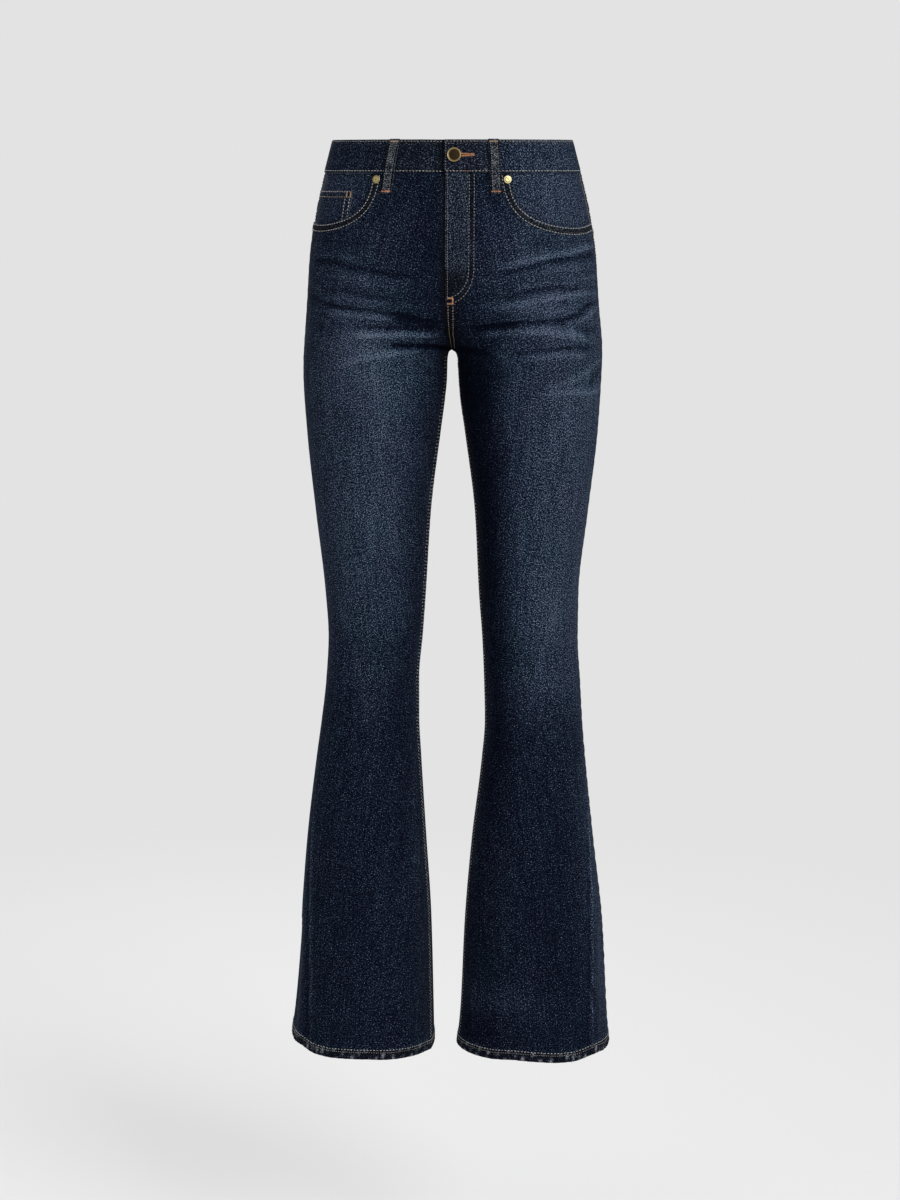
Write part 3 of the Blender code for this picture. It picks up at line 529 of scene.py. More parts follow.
    def _quarter(self, side: Side, face: Face, drops: Array) -> Quarter:
        """Sample one quarter of the form.

        Args:
            side: Wearer's side.
            face: Front or back.
            drops: Drops of the grid's rows.

        Returns:
            The sampled quarter.
        """
        at = drops[:, None]
        outer = self.curves[side.word + "_outer"](at)
        gap = SEAM_GAP / 2
        inner = np.where(at > CROTCH_DROP, np.maximum(self.curves[side.word + "_inner"](at), gap), gap)
        depth = self.curves["front" if face is FRONT else "back"](at)
        square = self.curves["square"](at)
        apart = ease((at - CROTCH_DROP) / self.edge_reach)
        crest = apart * inner + (outer - apart * inner) * self.curves[side.word + "_crest"](at)
        rise = self.front_rise if face is FRONT else self.back_rise
        under = ease((at - CROTCH_DROP + rise) / rise)
        angles = np.linspace(0.0, math.pi / 2, self.section_steps)[None, :]
        inwards = np.sin(angles[:, 1:])
        x = np.hstack((crest + (outer - crest) * np.cos(angles).clip(0.0) ** (2.0 / square),
                       crest * (1.0 - inwards) + inner * inwards ** (1.0 + self.edge_power * (1.0 - apart))))
        y = np.hstack((depth * np.sin(angles) ** (2.0 / square),
                       depth * (1.0 - (under * inwards) ** square).clip(0.0) ** (1.0 / square))) * face.value
        middle = (outer + inner) / 2
        turn = math.radians(self.toe_out[side]) * ease((at - CROTCH_DROP) / (HEM_DROP - CROTCH_DROP))
        turned_x = side.value * (middle + (x - middle) * np.cos(turn) - y * np.sin(turn))
        turned_y = self.curves["side_y"](at) + (x - middle) * np.sin(turn) + y * np.cos(turn)
        runs = np.hypot(np.diff(turned_x, axis=1), np.diff(turned_y, axis=1)).cumsum(axis=1)
        points = np.empty((len(drops), self.samples, 3))
        for row, run in enumerate(runs):
            way = np.concatenate(([0.0], run))
            even = np.linspace(0.0, way[-1], self.samples)
            points[row, :, 0] = np.interp(even, way, turned_x[row])
            points[row, :, 1] = np.interp(even, way, turned_y[row])
        points[:, :, 2] = WAIST_TOP - at
        normals = np.cross(np.gradient(points, axis=1), np.gradient(points, drops, axis=0))
        normals *= -side.value * face.value
        normals[drops < CROTCH_DROP, -1, 0] = 0.0
        normals /= np.linalg.norm(normals, axis=2, keepdims=True)
        return Quarter(drops, runs[:, -1], points, normals)

    def length(self, side: Side, face: Face, drop: Array) -> Array:
        """Length of the cloth from the side seam to the centre seam or inseam."""
        quarter = self.quarters[side, face]
        return np.interp(drop, quarter.drops, quarter.lengths)

    def _look_up(self, side: Side, face: Face, drop: Array, share: Array) -> tuple[Array, Array]:
        """Points and normals of the plain form at drops and shares of a quarter.

        Args:
            side: Wearer's side.
            face: Front or back.
            drop: Drops of the points.
            share: Their shares of the way from the side seam.

        Returns:
            Points and outward normals.
        """
        quarter = self.quarters[side, face]
        row = np.interp(drop, quarter.drops, np.arange(len(quarter.drops)))
        column = np.clip(share, 0.0, 1.0) * (self.samples - 1)
        r = np.minimum(row.astype(int), len(quarter.drops) - 2)
        c = np.minimum(column.astype(int), self.samples - 2)
        down, over = (row - r)[..., None], (column - c)[..., None]
        found = []
        for grid in (quarter.points, quarter.normals):
            top = grid[r, c] * (1.0 - over) + grid[r, c + 1] * over
            low = grid[r + 1, c] * (1.0 - over) + grid[r + 1, c + 1] * over
            found.append(top * (1.0 - down) + low * down)
        found[1] /= np.linalg.norm(found[1], axis=-1, keepdims=True)
        return found[0], found[1]

    def skin(self, side: Side, face: Face, drop: Array, along: Array,
             out: Array | float = 0.0) -> tuple[Array, Array]:
        """Points on the creased cloth. Past the centre they cross to the other side.

        Args:
            side: Wearer's side.
            face: Front or back.
            drop: Drops below the waistband's top edge.
            along: Distances from the side seam.
            out: Distances outwards from the cloth's outer face.

        Returns:
            Points and outward normals.
        """
        drop, along, out = np.broadcast_arrays(np.asarray(drop, float), np.asarray(along, float), out)
        length = self.length(side, face, drop)
        points, normals = self._look_up(side, face, drop, along / length)
        lift = out + self.relief(side, face, drop, along)
        crossed = along > length
        if crossed.any():
            far = (2.0 * length[crossed] - along[crossed]) / length[crossed]
            points, normals = points.copy(), normals.copy()
            points[crossed], normals[crossed] = self._look_up(side.other, face, drop[crossed], far)
        placed = points + normals * lift[..., None]
        placed[..., 2] += self.hem_fall(side, face, drop, along / length)
        return placed, normals

    def hem_fall(self, side: Side, face: Face, drop: Array, share: Array) -> Array:
        """How far the flare hangs lower or higher than level near its hem.

        Args:
            side: Wearer's side.
            face: Front or back.
            drop: Drops of the points.
            share: Their shares of the way from the side seam.

        Returns:
            Heights above level, negative where it hangs lower.
        """
        shares, falls = np.array(self.hem_falls[side])
        if face is BACK:
            shares, falls = shares[[0, -1]], falls[[0, -1]]
        return np.interp(share, shares, falls) * ease((drop - 1.0) / (FOLD_DROP - 1.0))

    def belt(self, angle: Array, drop: Array, out: Array | float) -> tuple[Array, Array]:
        """Points round the waist, by angle in degrees from the centre front to the wearer's left.

        Args:
            angle: Angles round the waist.
            drop: Drops below the waistband's top edge.
            out: Distances outwards from the form.

        Returns:
            Points and outward normals.
        """
        angle, drop, out = np.broadcast_arrays(np.radians(angle), drop, out)

        def plain(turn: Array, at: Array) -> Array:
            """Points of the plain waist.

            Args:
                turn: Angles in radians.
                at: Drops below the waistband's top edge.

            Returns:
                The points.
            """
            depth = np.where(np.cos(turn) >= 0.0, self.curves["front"](at), self.curves["back"](at))
            return np.stack((self.curves["left_outer"](at) * np.sin(turn),
                             self.curves["side_y"](at) - depth * np.cos(turn), WAIST_TOP - at), axis=-1)

        step = 0.0005
        round_way = plain(angle + step, drop) - plain(angle - step, drop)
        down_way = plain(angle, drop + step) - plain(angle, drop - step)
        normals = np.cross(down_way, round_way)
        normals /= np.linalg.norm(normals, axis=-1, keepdims=True)
        return plain(angle, drop) + normals * np.asarray(out)[..., None], normals

    def strokes(self, side: Side, face: Face, drop: Array, along: Array) -> tuple[Array, Array]:
        """Height and fade that the creases and streaks give each point.

        Args:
            side: Wearer's side.
            face: Front or back.
            drop: Drops of the points.
            along: Their distances from the side seam.

        Returns:
            Heights and fades.
        """
        height, fade = np.zeros(np.shape(drop)), np.zeros(np.shape(drop))
        for stroke in STROKES[side, face]:
            near, strength = stroke.strength(drop, along, lambda at: self.length(side, face, at))
            height[near] += stroke.height * strength
            fade[near] += stroke.fade * strength
        return height, fade

    def relief(self, side: Side, face: Face, drop: Array, along: Array) -> Array:
        """How far creases, seams and the hem lift the cloth off the plain form.

        Args:
            side: Wearer's side.
            face: Front or back.
            drop: Drops of the points.
            along: Their distances from the side seam.

        Returns:
            Distances outwards.
        """
        length = self.length(side, face, drop)
        height, _ = self.strokes(side, face, drop, along)
        inward = length - along
        height = height * ease(along / 0.020)
        height = height * np.where(drop > CROTCH_DROP - 0.03, ease(inward / 0.020), 1.0)
        return height + self.seam_relief(side, face, drop, along, inward)

    @staticmethod
    def inseam_row(side: Side, drop: Array) -> Array:
        """Distance of the inseam's inner row from the inseam: the seam twists forwards up the leg.

        Args:
            side: Wearer's side.
            drop: Drops of the points.

        Returns:
            Distances from the inseam.
        """
        drops = (0.2535, 0.43, 0.55, 0.62, 0.70, 0.80, 0.90, 1.12)
        inwards = (0.0215, 0.0185, 0.0150, 0.0120, 0.0085, 0.0050, 0.0026, 0.0020)
        if side is L:
            inwards = (0.0245, 0.0240, 0.0225, 0.0215, 0.0205, 0.0205, 0.0205, 0.0205)
        return np.interp(drop, drops, inwards)

    @staticmethod
    def pucker(run: Array, pitch: float) -> Array:
        """Uneven ripples along a sewn edge, from -1 to 1."""
        return (np.sin(run * math.tau / pitch + 1.7 * np.sin(run * 41.0)) * 0.65
                + np.sin(run * math.tau / (pitch * 1.63) + 2.1) * 0.35)

    def seam_relief(self, side: Side, face: Face, drop: Array, along: Array,
                    inward: Array) -> Array:
        """Ridges, ripples and the hem's thickness near the seams.

        Args:
            side: Wearer's side.
            face: Front or back.
            drop: Drops of the points.
            along: Their distances from the side seam.
            inward: Their distances from the centre seam or inseam.

        Returns:
            Distances outwards.
        """
        legs = ease((drop - CROTCH_DROP) / 0.02)
        rise = (1.0 - legs) * ease((drop - 0.19) / 0.01)
        lower = ease((drop - 0.55) / 0.25)
        if face is FRONT:
            fell = np.maximum(legs, rise * (1.0 if side is L else 0.0))
            row = self.inseam_row(side, drop) * legs + 0.0095 * (1.0 - legs)
            wave = self.pucker(drop + 0.3 * side.value, INSEAM_PITCH)
            ripple = fell * (0.00055 * ease((row + 0.002 - inward) / 0.002) * ease((inward + 0.001) / 0.002)
                             - 0.0003 * bell(inward - row, 0.0009)
                             + 0.00045 * wave * bell(inward - row, 0.0070))
        else:
            ripple = 0.00025 * legs * self.pucker(drop + 0.2 * side.value, 0.012) * bell(inward, 0.010)
            sewn = (1.0 - legs) * (1.0 if side is L else 0.0)
            ripple = ripple + sewn * 0.0005 * ease((0.0105 - inward) / 0.002)
        wave = self.pucker(drop + 0.11 * side.value, 0.0135)
        outseam = (0.00035 * bell(along - 0.0045, 0.0040) - 0.0004 * bell(along, 0.0012)
                   + (0.00020 + 0.00025 * lower) * wave * bell(along, 0.0120))
        hem = drop - FOLD_DROP
        folded = ease((hem + 0.0014) / 0.0016)
        roped = 0.00035 * np.sin((along + 0.25 * hem) * math.tau / ROPE_PITCH) * ease(hem / 0.004)
        pinched = -0.0003 * bell(hem - 0.0006, 0.0012)
        return ripple + outseam + 0.0006 * folded + roped + pinched

    def lightness(self, side: Side, face: Face, drop: Array, along: Array) -> Array:
        """Lightness from 0 to 1: the indigo's fading, with painted shade in hollows and between the legs.

        Args:
            side: Wearer's side.
            face: Front or back.
            drop: Drops of the points.
            along: Their distances from the side seam.

        Returns:
            The fade at each point.
        """
        length = self.length(side, face, drop)
        share, inward = along / length, length - along
        _, fade = self.strokes(side, face, drop, along)
        for wash in WASHES[side, face]:
            fade = fade + wash.fade * wash.strength(drop, share)
        fade = self.plain_fade + self.fade_scale * fade
        lower = ease((drop - 0.60) / 0.14)
        # Painted shade: darker along the side seam.
        fade = fade - 0.06 * (1.0 - ease(along / 0.012))
        legs = ease((drop - CROTCH_DROP) / 0.02)
        if face is FRONT:
            crests = np.maximum(self.pucker(drop + 0.3 * side.value, INSEAM_PITCH), 0.0) ** 1.5
            row = self.inseam_row(side, drop)
            strong = 0.12 + 0.18 * ease((drop - 0.50) / 0.15)
            fade = fade + strong * legs * crests * bell(inward - row - 0.0035, 0.0030)
            # Painted shade: darker between the inseam's inner row and the inseam.
            fade = fade - 0.16 * legs * ease((row - inward) / 0.003)
        crests = np.maximum(self.pucker(drop + 0.11 * side.value + 0.35 * along, 0.0095), 0.0) ** 1.6
        crests = crests * (0.55 + 0.45 * scatter(along / 0.008, drop / 0.014, side.value))
        fade = fade + (0.08 + 0.34 * lower) * crests * bell(along - 0.009, 0.0085)
        # The turned-up hem: light ticks of wear on the roped ridges and near black between them, which is partly
        # painted shade in the hollows.
        hem = drop - FOLD_DROP
        fold = ease(hem / 0.0015)
        ticks = np.sin((along + 0.1 * hem) * math.tau / ROPE_PITCH + 0.9 * np.sin(along * 90.0))
        ticks = np.maximum(ticks, 0.0) ** 4 * (1.0 + 0.4 * np.sin(along * 310.0))
        fade = fade * (1.0 - fold) + (0.08 + 0.96 * ticks) * fold + 0.30 * ease((hem - 0.0118) / 0.0012)
        return fade + 0.20 * bell(hem + 0.0016, 0.0010) + self.unevenness(drop, along, side)

    @staticmethod
    def unevenness(drop: Array, along: Array, side: Side) -> Array:
        """Uneven wear: short level flecks on the hips and long upright streaks all over.

        Args:
            drop: Drops of the points.
            along: Their distances from the side seam.
            side: Wearer's side.

        Returns:
            What it adds to the fade.
        """
        seed = 5.0 + side.value
        hips = bell(drop - 0.175, 0.080)
        tilted = drop - 0.15 * along
        flecks = (scatter(along / 0.026, tilted / 0.0052, seed)
                  + 0.7 * scatter(along / 0.014, tilted / 0.0031, seed + 9.0))
        streaks = (scatter(along / 0.0055, drop / 0.075, seed + 3.0)
                   + 0.8 * scatter(along / 0.0115, drop / 0.160, seed + 6.0))
        patches = scatter(along / 0.035, drop / 0.050, seed + 12.0)
        return 0.050 * hips * flecks + 0.026 * streaks + 0.022 * patches


def grid_faces(rows: int, columns: int) -> Array:
    """Corner indices of the quads of a grid, row by row."""
    start = (np.arange(rows - 1)[:, None] * columns + np.arange(columns - 1)[None, :]).ravel()
    return np.stack((start, start + 1, start + columns + 1, start + columns), axis=1)


@dataclass
class Cloth:
    """A closed wall of cloth between two grids of points.

    Attributes:
        name: Object name.
        outer: Points of the outer face, by row and column.
        inner: Points of the inner face.
        normals: Outward normals of the outer face.
        weave: Place in the weave, in metres across and down.
        fields: Named values of the finish, at each point of the grid or for all of it.
    """

    name: str
    outer: Array
    inner: Array
    normals: Array
    weave: Array
    fields: dict[str, Array | float]

    def build(self, material: Material) -> Object:
        """Make the mesh object.

        Args:
            material: Its finish.

        Returns:
            The new object, linked to the scene.
        """
        rows, columns = self.outer.shape[:2]
        count = rows * columns
        quads = grid_faces(rows, columns)
        first = self.outer.reshape(-1, 3)[quads[:, :3]]
        facing = np.cross(first[:, 1] - first[:, 0], first[:, 2] - first[:, 0])
        if (facing * self.normals.reshape(-1, 3)[quads[:, 0]]).sum() < 0.0:
            quads = quads[:, ::-1]
        edge = np.concatenate((np.arange(columns), np.arange(1, rows) * columns + columns - 1,
                               (rows - 1) * columns + np.arange(columns - 2, -1, -1),
                               np.arange(rows - 2, 0, -1) * columns))
        ahead = np.roll(edge, -1)
        rim = np.stack((edge, edge + count, ahead + count, ahead), axis=1)
        if quads[0, 0] != 0:
            rim = rim[:, ::-1]
        faces = np.vstack((quads, quads[:, ::-1] + count, rim))
        mesh = bpy.data.meshes.new(self.name)
        corners = np.vstack((self.outer.reshape(-1, 3), self.inner.reshape(-1, 3)))
        mesh.from_pydata(corners.tolist(), [], faces.tolist())
        used = np.empty(len(mesh.loops), dtype=np.int32)
        mesh.loops.foreach_get("vertex_index", used)
        layer = mesh.uv_layers.new(name="weave")
        layer.data.foreach_set("uv", self.weave.reshape(-1, 2)[used % count].ravel())
        values = {name: np.tile(np.broadcast_to(self.fields.get(name, 0.0), (rows, columns)).ravel(), 2)
                  for name in ("fade", "shade", "grey")}
        values["reverse"] = np.repeat((0.0, 1.0), count)
        for name, value in values.items():
            mesh.attributes.new(name, "FLOAT", "POINT").data.foreach_set("value", value.astype(np.float32))
        mesh.materials.append(material)
        mesh.shade_smooth()
        mesh.set_sharp_from_angle(angle=math.radians(55))
        return place_object(self.name, mesh)


def place_object(name: str, data: bpy.types.ID) -> Object:
    """Make an object of a mesh, light or camera and link it to the scene.

    Args:
        name: Its name.
        data: What it shows.

    Returns:
        The object.
    """
    thing = bpy.data.objects.new(name, data)
    bpy.context.scene.collection.objects.link(thing)
    return thing


def finish_piece(thing: Object, nodes: Sequence[str] = ()) -> Object:
    """Ride a piece on the body and hide the nodes it stands for.

    Args:
        thing: The piece.
        nodes: The nodes it stands for.

    Returns:
        The piece.
    """
    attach(thing, BODY)
    if nodes:
        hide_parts(*nodes)
    LOG.info("%s: %d faces", thing.name, len(thing.data.polygons))
    return thing


def lay_sheet(cloth: Cloth, node: str, material: Material) -> None:
    """Args:
        cloth: The cloth.
        node: The node it stands for.
        material: Its finish.
    """
    thing = finish_piece(cloth.build(material), [node])


def mesh_grid(rows: Array, columns: Array) -> list[Array]:
    """A grid's values by row and by column."""
    return np.meshgrid(rows, columns, indexing="ij")


def panel_rows(*runs: Iterable[float]) -> Array:
    """Drops of a leg panel's rows: the given runs and the marks of every leg panel, in order."""
    return np.unique(np.round(np.concatenate((*runs, LEG_MARKS)), 6))


def hem_turning(drop: Array) -> tuple[Array, Array]:
    """How far the hem's bottom edge is rounded off, and where the cloth is turned up, from 0 to 1."""
    return 0.0005 * ease((drop - HEM_DROP + 0.0009) / 0.0009), ease((drop - HEM_DROP + HEM_FOLD) / 0.0008)


class Wiring:
    """Adds nodes to a tree and links their sockets."""

    tree: NodeTree

    def add(self, kind: str, inputs: dict[str | int, object] | None = None, **options: object) -> Node:
        """Add a node.

        Args:
            kind: Its type.
            inputs: Socket names or numbers, with values or sockets to link.
            options: Properties of the node.

        Returns:
            The node.
        """
        node = self.tree.nodes.new(kind)
        for key, value in options.items():
            setattr(node, key, value)
        for key, value in (inputs or {}).items():
            self.feed(node.inputs[key], value)
        return node

    def feed(self, socket: NodeSocket, value: object) -> None:
        """Link a socket to another, or set its value.

        Args:
            socket: The socket.
            value: Its value, or the socket to link.
        """
        if isinstance(value, NodeSocket):
            self.tree.links.new(value, socket)
        else:
            socket.default_value = value

    def math(self, operation: str, first: object, second: object) -> NodeSocket:
        """Add a Math node and give its output."""
        return self.add("ShaderNodeMath", {0: first, 1: second}, operation=operation).outputs[0]


class Graph(Wiring):
    """A material and its shader nodes."""

    def __init__(self, name: str) -> None:
        """Make the material and find its Principled shader.

        Args:
            name: The material's name.
        """
        self.material = bpy.data.materials.new(name)
        self.material.use_nodes = True
        self.tree = self.material.node_tree
        self.shader = self.tree.nodes["Principled BSDF"]

    def set(self, **values: object) -> None:
        """Set or feed sockets of the shader, named with _ for each space."""
        for name, value in values.items():
            self.feed(self.shader.inputs[name.replace("_", " ")], value)

    def bump(self, strength: float, distance: float, height: NodeSocket) -> NodeSocket:
        """Add a Bump node and give its normal."""
        inputs = {"Strength": strength, "Distance": distance, "Height": height}
        return self.add("ShaderNodeBump", inputs).outputs[0]

    def wave(self, vector: NodeSocket, pitch: float, direction: str, **inputs: float) -> NodeSocket:
        """Add bands a pitch apart and give their value."""
        return self.add("ShaderNodeTexWave", {"Vector": vector, "Scale": math.tau / (20 * pitch), **inputs},
                        bands_direction=direction).outputs["Fac"]

    def mix(self, factor: object, first: object, second: object, blend: str = "MIX") -> NodeSocket:
        """Mix two colours and give the output.

        Args:
            factor: Share of the second.
            first: First colour.
            second: Second colour.
            blend: How the second acts on the first.

        Returns:
            The output.
        """
        node = self.add("ShaderNodeMix", data_type="RGBA", blend_type=blend)
        for name, value in (("Factor", factor), ("A", first), ("B", second)):
            sockets = [s for s in node.inputs if s.name == name and s.enabled]
            self.feed(sockets[0], value)
        return next(s for s in node.outputs if s.enabled)

    def noise(self, vector: object, scale: float, detail: float = 2.0, rough: float = 0.5) -> NodeSocket:
        """Add a noise texture and give its value."""
        return self.add("ShaderNodeTexNoise", {"Vector": vector, "Scale": scale, "Detail": detail,
                                               "Roughness": rough}).outputs[0]

    def ramp(self, value: object, stops: Iterable[tuple[float, Triple]]) -> NodeSocket:
        """Turn a value into a colour through a ramp.

        Args:
            value: The value.
            stops: Places and colours.

        Returns:
            The colour.
        """
        node = self.add("ShaderNodeValToRGB", {"Fac": value})
        elements = node.color_ramp.elements
        for index, (place, colour) in enumerate(stops):
            element = elements[index] if index < 2 else elements.new(place)
            element.position = place
            element.color = (*colour, 1.0)
        return node.outputs[0]

    def attribute(self, name: str) -> NodeSocket:
        """Value of a named attribute."""
        return self.add("ShaderNodeAttribute", attribute_type="GEOMETRY", attribute_name=name).outputs["Fac"]


@dataclass(frozen=True)
class Denim:
    """Washed indigo twill.

    Attributes:
        name: Material name.
        tones: Ramp from dark to light, as (fade, colour), for wear and painted shade alike.
        reverse: Colour of the wrong side.
        shade_colour: Dark colour mixed in by the shade attribute: painted shade, and a darker tone on some sewn
            bands.
        twill_pitch: Distance between twill lines, in metres.
        yarn: Strength of the salt and pepper of the yarns.
        fine: Strength of the grain within a yarn.
        slub: Strength of the long upright streaks.
        mottle: Strength of the broad unevenness.
        warm: Tint of the redder patches.
        cool: Tint of the greener patches.
        grey: Tint where rubbing has taken the blue out.
    """

    name: str = "indigo_twill"
    tones: tuple[tuple[float, Triple], ...] = (
        (0.00, (0.0010, 0.0017, 0.0046)),
        (0.14, (0.0021, 0.0029, 0.0070)),
        (0.33, (0.0047, 0.0064, 0.0146)),
        (0.43, (0.0072, 0.0104, 0.0222)),
        (0.54, (0.0107, 0.0174, 0.0342)),
        (0.65, (0.0169, 0.0280, 0.0500)),
        (0.76, (0.0283, 0.0452, 0.0762)),
        (0.88, (0.0530, 0.0740, 0.1160)),
        (1.00, (0.1080, 0.1340, 0.1830)),
    )
    reverse: Triple = (0.085, 0.105, 0.140)
    shade_colour: Triple = (0.0030, 0.0033, 0.0040)
    twill_pitch: float = 0.0010
    yarn: float = 2.20
    fine: float = 0.58
    slub: float = 0.38
    mottle: float = 0.10
    warm: Triple = (1.04, 0.98, 1.00)
    cool: Triple = (0.96, 1.03, 1.00)
    grey: Triple = (1.42, 1.12, 0.86)

    def make(self) -> Material:
        """Build the material.

        Returns:
            The material.
        """
        g = Graph(self.name)
        weave = g.add("ShaderNodeUVMap", uv_map="weave").outputs[0]
        yarn = g.noise(weave, 740.0, 0.0)
        fine = g.add("ShaderNodeTexVoronoi", {"Vector": weave, "Scale": 1100.0},
                     voronoi_dimensions="2D").outputs["Color"]
        tall = g.add("ShaderNodeMapping", {"Vector": weave, "Scale": (1.0, 0.05, 1.0)}).outputs[0]
        slub = g.noise(tall, 400.0, 1.0)
        broad = g.noise(weave, 30.0, 3.0, 0.6)
        tilt = (0.0, 0.0, math.radians(32))
        turned = g.add("ShaderNodeMapping", {"Vector": weave, "Rotation": tilt}).outputs[0]
        uneven = {"Distortion": 1.2, "Detail": 1.0, "Detail Scale": 2.0}
        twill = g.wave(turned, self.twill_pitch, "X", **uneven)
        value = g.attribute("fade")
        for source, strength in ((yarn, self.yarn), (fine, self.fine), (slub, self.slub),
                                 (broad, self.mottle), (twill, 0.10)):
            value = g.math("ADD", value, g.math("MULTIPLY", g.math("SUBTRACT", source, 0.5), strength))
        colour = g.ramp(value, self.tones)
        tint = g.ramp(g.noise(weave, 13.0, 2.0, 0.55), ((0.38, self.cool), (0.62, self.warm)))
        colour = g.mix(1.0, colour, tint, "MULTIPLY")
        colour = g.mix(g.attribute("grey"), colour, g.mix(1.0, colour, (*self.grey, 1.0), "MULTIPLY"))
        # The shade attribute mixes in a dark colour: painted shade and shadow in the crotch, between the legs,
        # under laps and at the loops' edges, and a darker tone on some sewn bands.
        colour = g.mix(g.attribute("shade"), colour, (*self.shade_colour, 1.0))
        back = g.ramp(g.math("ADD", fine, g.math("MULTIPLY", twill, 0.25)),
                      [(place, tuple(light * c for c in self.reverse))
                       for place, light in ((0.25, 0.55), (0.95, 1.5))])
        grain = g.math("ADD", g.math("MULTIPLY", yarn, 0.5), slub)
        height = g.math("ADD", g.math("MULTIPLY", twill, 0.5), grain)
        g.set(Base_Color=g.mix(g.attribute("reverse"), colour, back), Normal=g.bump(0.30, 0.0003, height),
              Roughness=g.math("ADD", 0.80, g.math("MULTIPLY", fine, 0.15)), Specular_IOR_Level=0.012,
              Sheen_Weight=0.018, Sheen_Roughness=0.30, Sheen_Tint=(0.55, 0.65, 0.85, 1.0))
        return g.material


@dataclass(frozen=True)
class Thread:
    """Sewing thread with a slight change of tone along it."""

    name: str
    light: Triple
    dark: Triple

    def make(self) -> Material:
        """Build the material.

        Returns:
            The material.
        """
        g = Graph(self.name + "_thread")
        place = g.add("ShaderNodeTexCoord").outputs["Object"]
        tone = g.noise(place, 240.0, 2.0, 0.7)
        g.set(Base_Color=g.ramp(tone, ((0.32, self.dark), (0.66, self.light))),
              Roughness=g.math("ADD", 0.55, g.math("MULTIPLY", tone, 0.2)), Sheen_Weight=0.15,
              Normal=g.bump(0.3, 0.0002, g.noise(place, 2600.0, 1.0, 0.5)))
        return g.material


THREADS = (
    Thread("cream", (0.43, 0.41, 0.37), (0.20, 0.185, 0.155)),
    Thread("ecru", (0.25, 0.235, 0.205), (0.10, 0.093, 0.08)),
    Thread("pale", (0.50, 0.51, 0.52), (0.16, 0.165, 0.17)),
    Thread("tan", (0.32, 0.22, 0.115), (0.16, 0.105, 0.05)),
    Thread("copper", (0.44, 0.19, 0.085), (0.20, 0.08, 0.03)),
)


@dataclass(frozen=True)
class Brass:
    """Brass trim, darker where an attribute says it is recessed."""

    name: str
    bright: Triple
    dark: Triple
    roughness: float

    def make(self) -> Material:
        """Build the material.

        Returns:
            The material.
        """
        g = Graph(self.name)
        place = g.add("ShaderNodeTexCoord").outputs["Object"]
        spots = g.noise(place, 900.0, 4.0, 0.65)
        lightness = g.math("ADD", g.attribute("rubbed"), g.math("MULTIPLY", g.math("SUBTRACT", spots, 0.5), 0.55))
        g.set(Base_Color=g.ramp(lightness, ((0.15, self.dark), (0.85, self.bright))), Metallic=1.0,
              Roughness=g.math("ADD", self.roughness, g.math("MULTIPLY", spots, 0.18)),
              Normal=g.bump(0.25, 0.0002, spots))
        return g.material


@dataclass(frozen=True)
class Tape:
    """Woven zip tape, with ribs across it; painted shade darkens their hollows and painted light their crests."""

    name: str = "zip_tape_weave"
    pitch: float = 0.0009
    hollow: Triple = (0.006, 0.007, 0.011)
    crest: Triple = (0.020, 0.023, 0.034)

    def make(self) -> Material:
        """Build the material.

        Returns:
            The material.
        """
        g = Graph(self.name)
        weave = g.add("ShaderNodeUVMap", uv_map="weave").outputs[0]
        ribs = g.wave(weave, self.pitch, "Y", Distortion=0.6)
        # Painted shade in the ribs' hollows and painted light on their crests, over the ribs' bump.
        g.set(Base_Color=g.ramp(ribs, ((0.0, self.hollow), (1.0, self.crest))), Roughness=0.8,
              Normal=g.bump(0.4, 0.0002, ribs))
        return g.material


class Grain(Enum):
    """What a sewn or linked row repeats."""

    STITCH = "GeometryNodeMeshUVSphere"
    TOOTH = "GeometryNodeMeshCube"


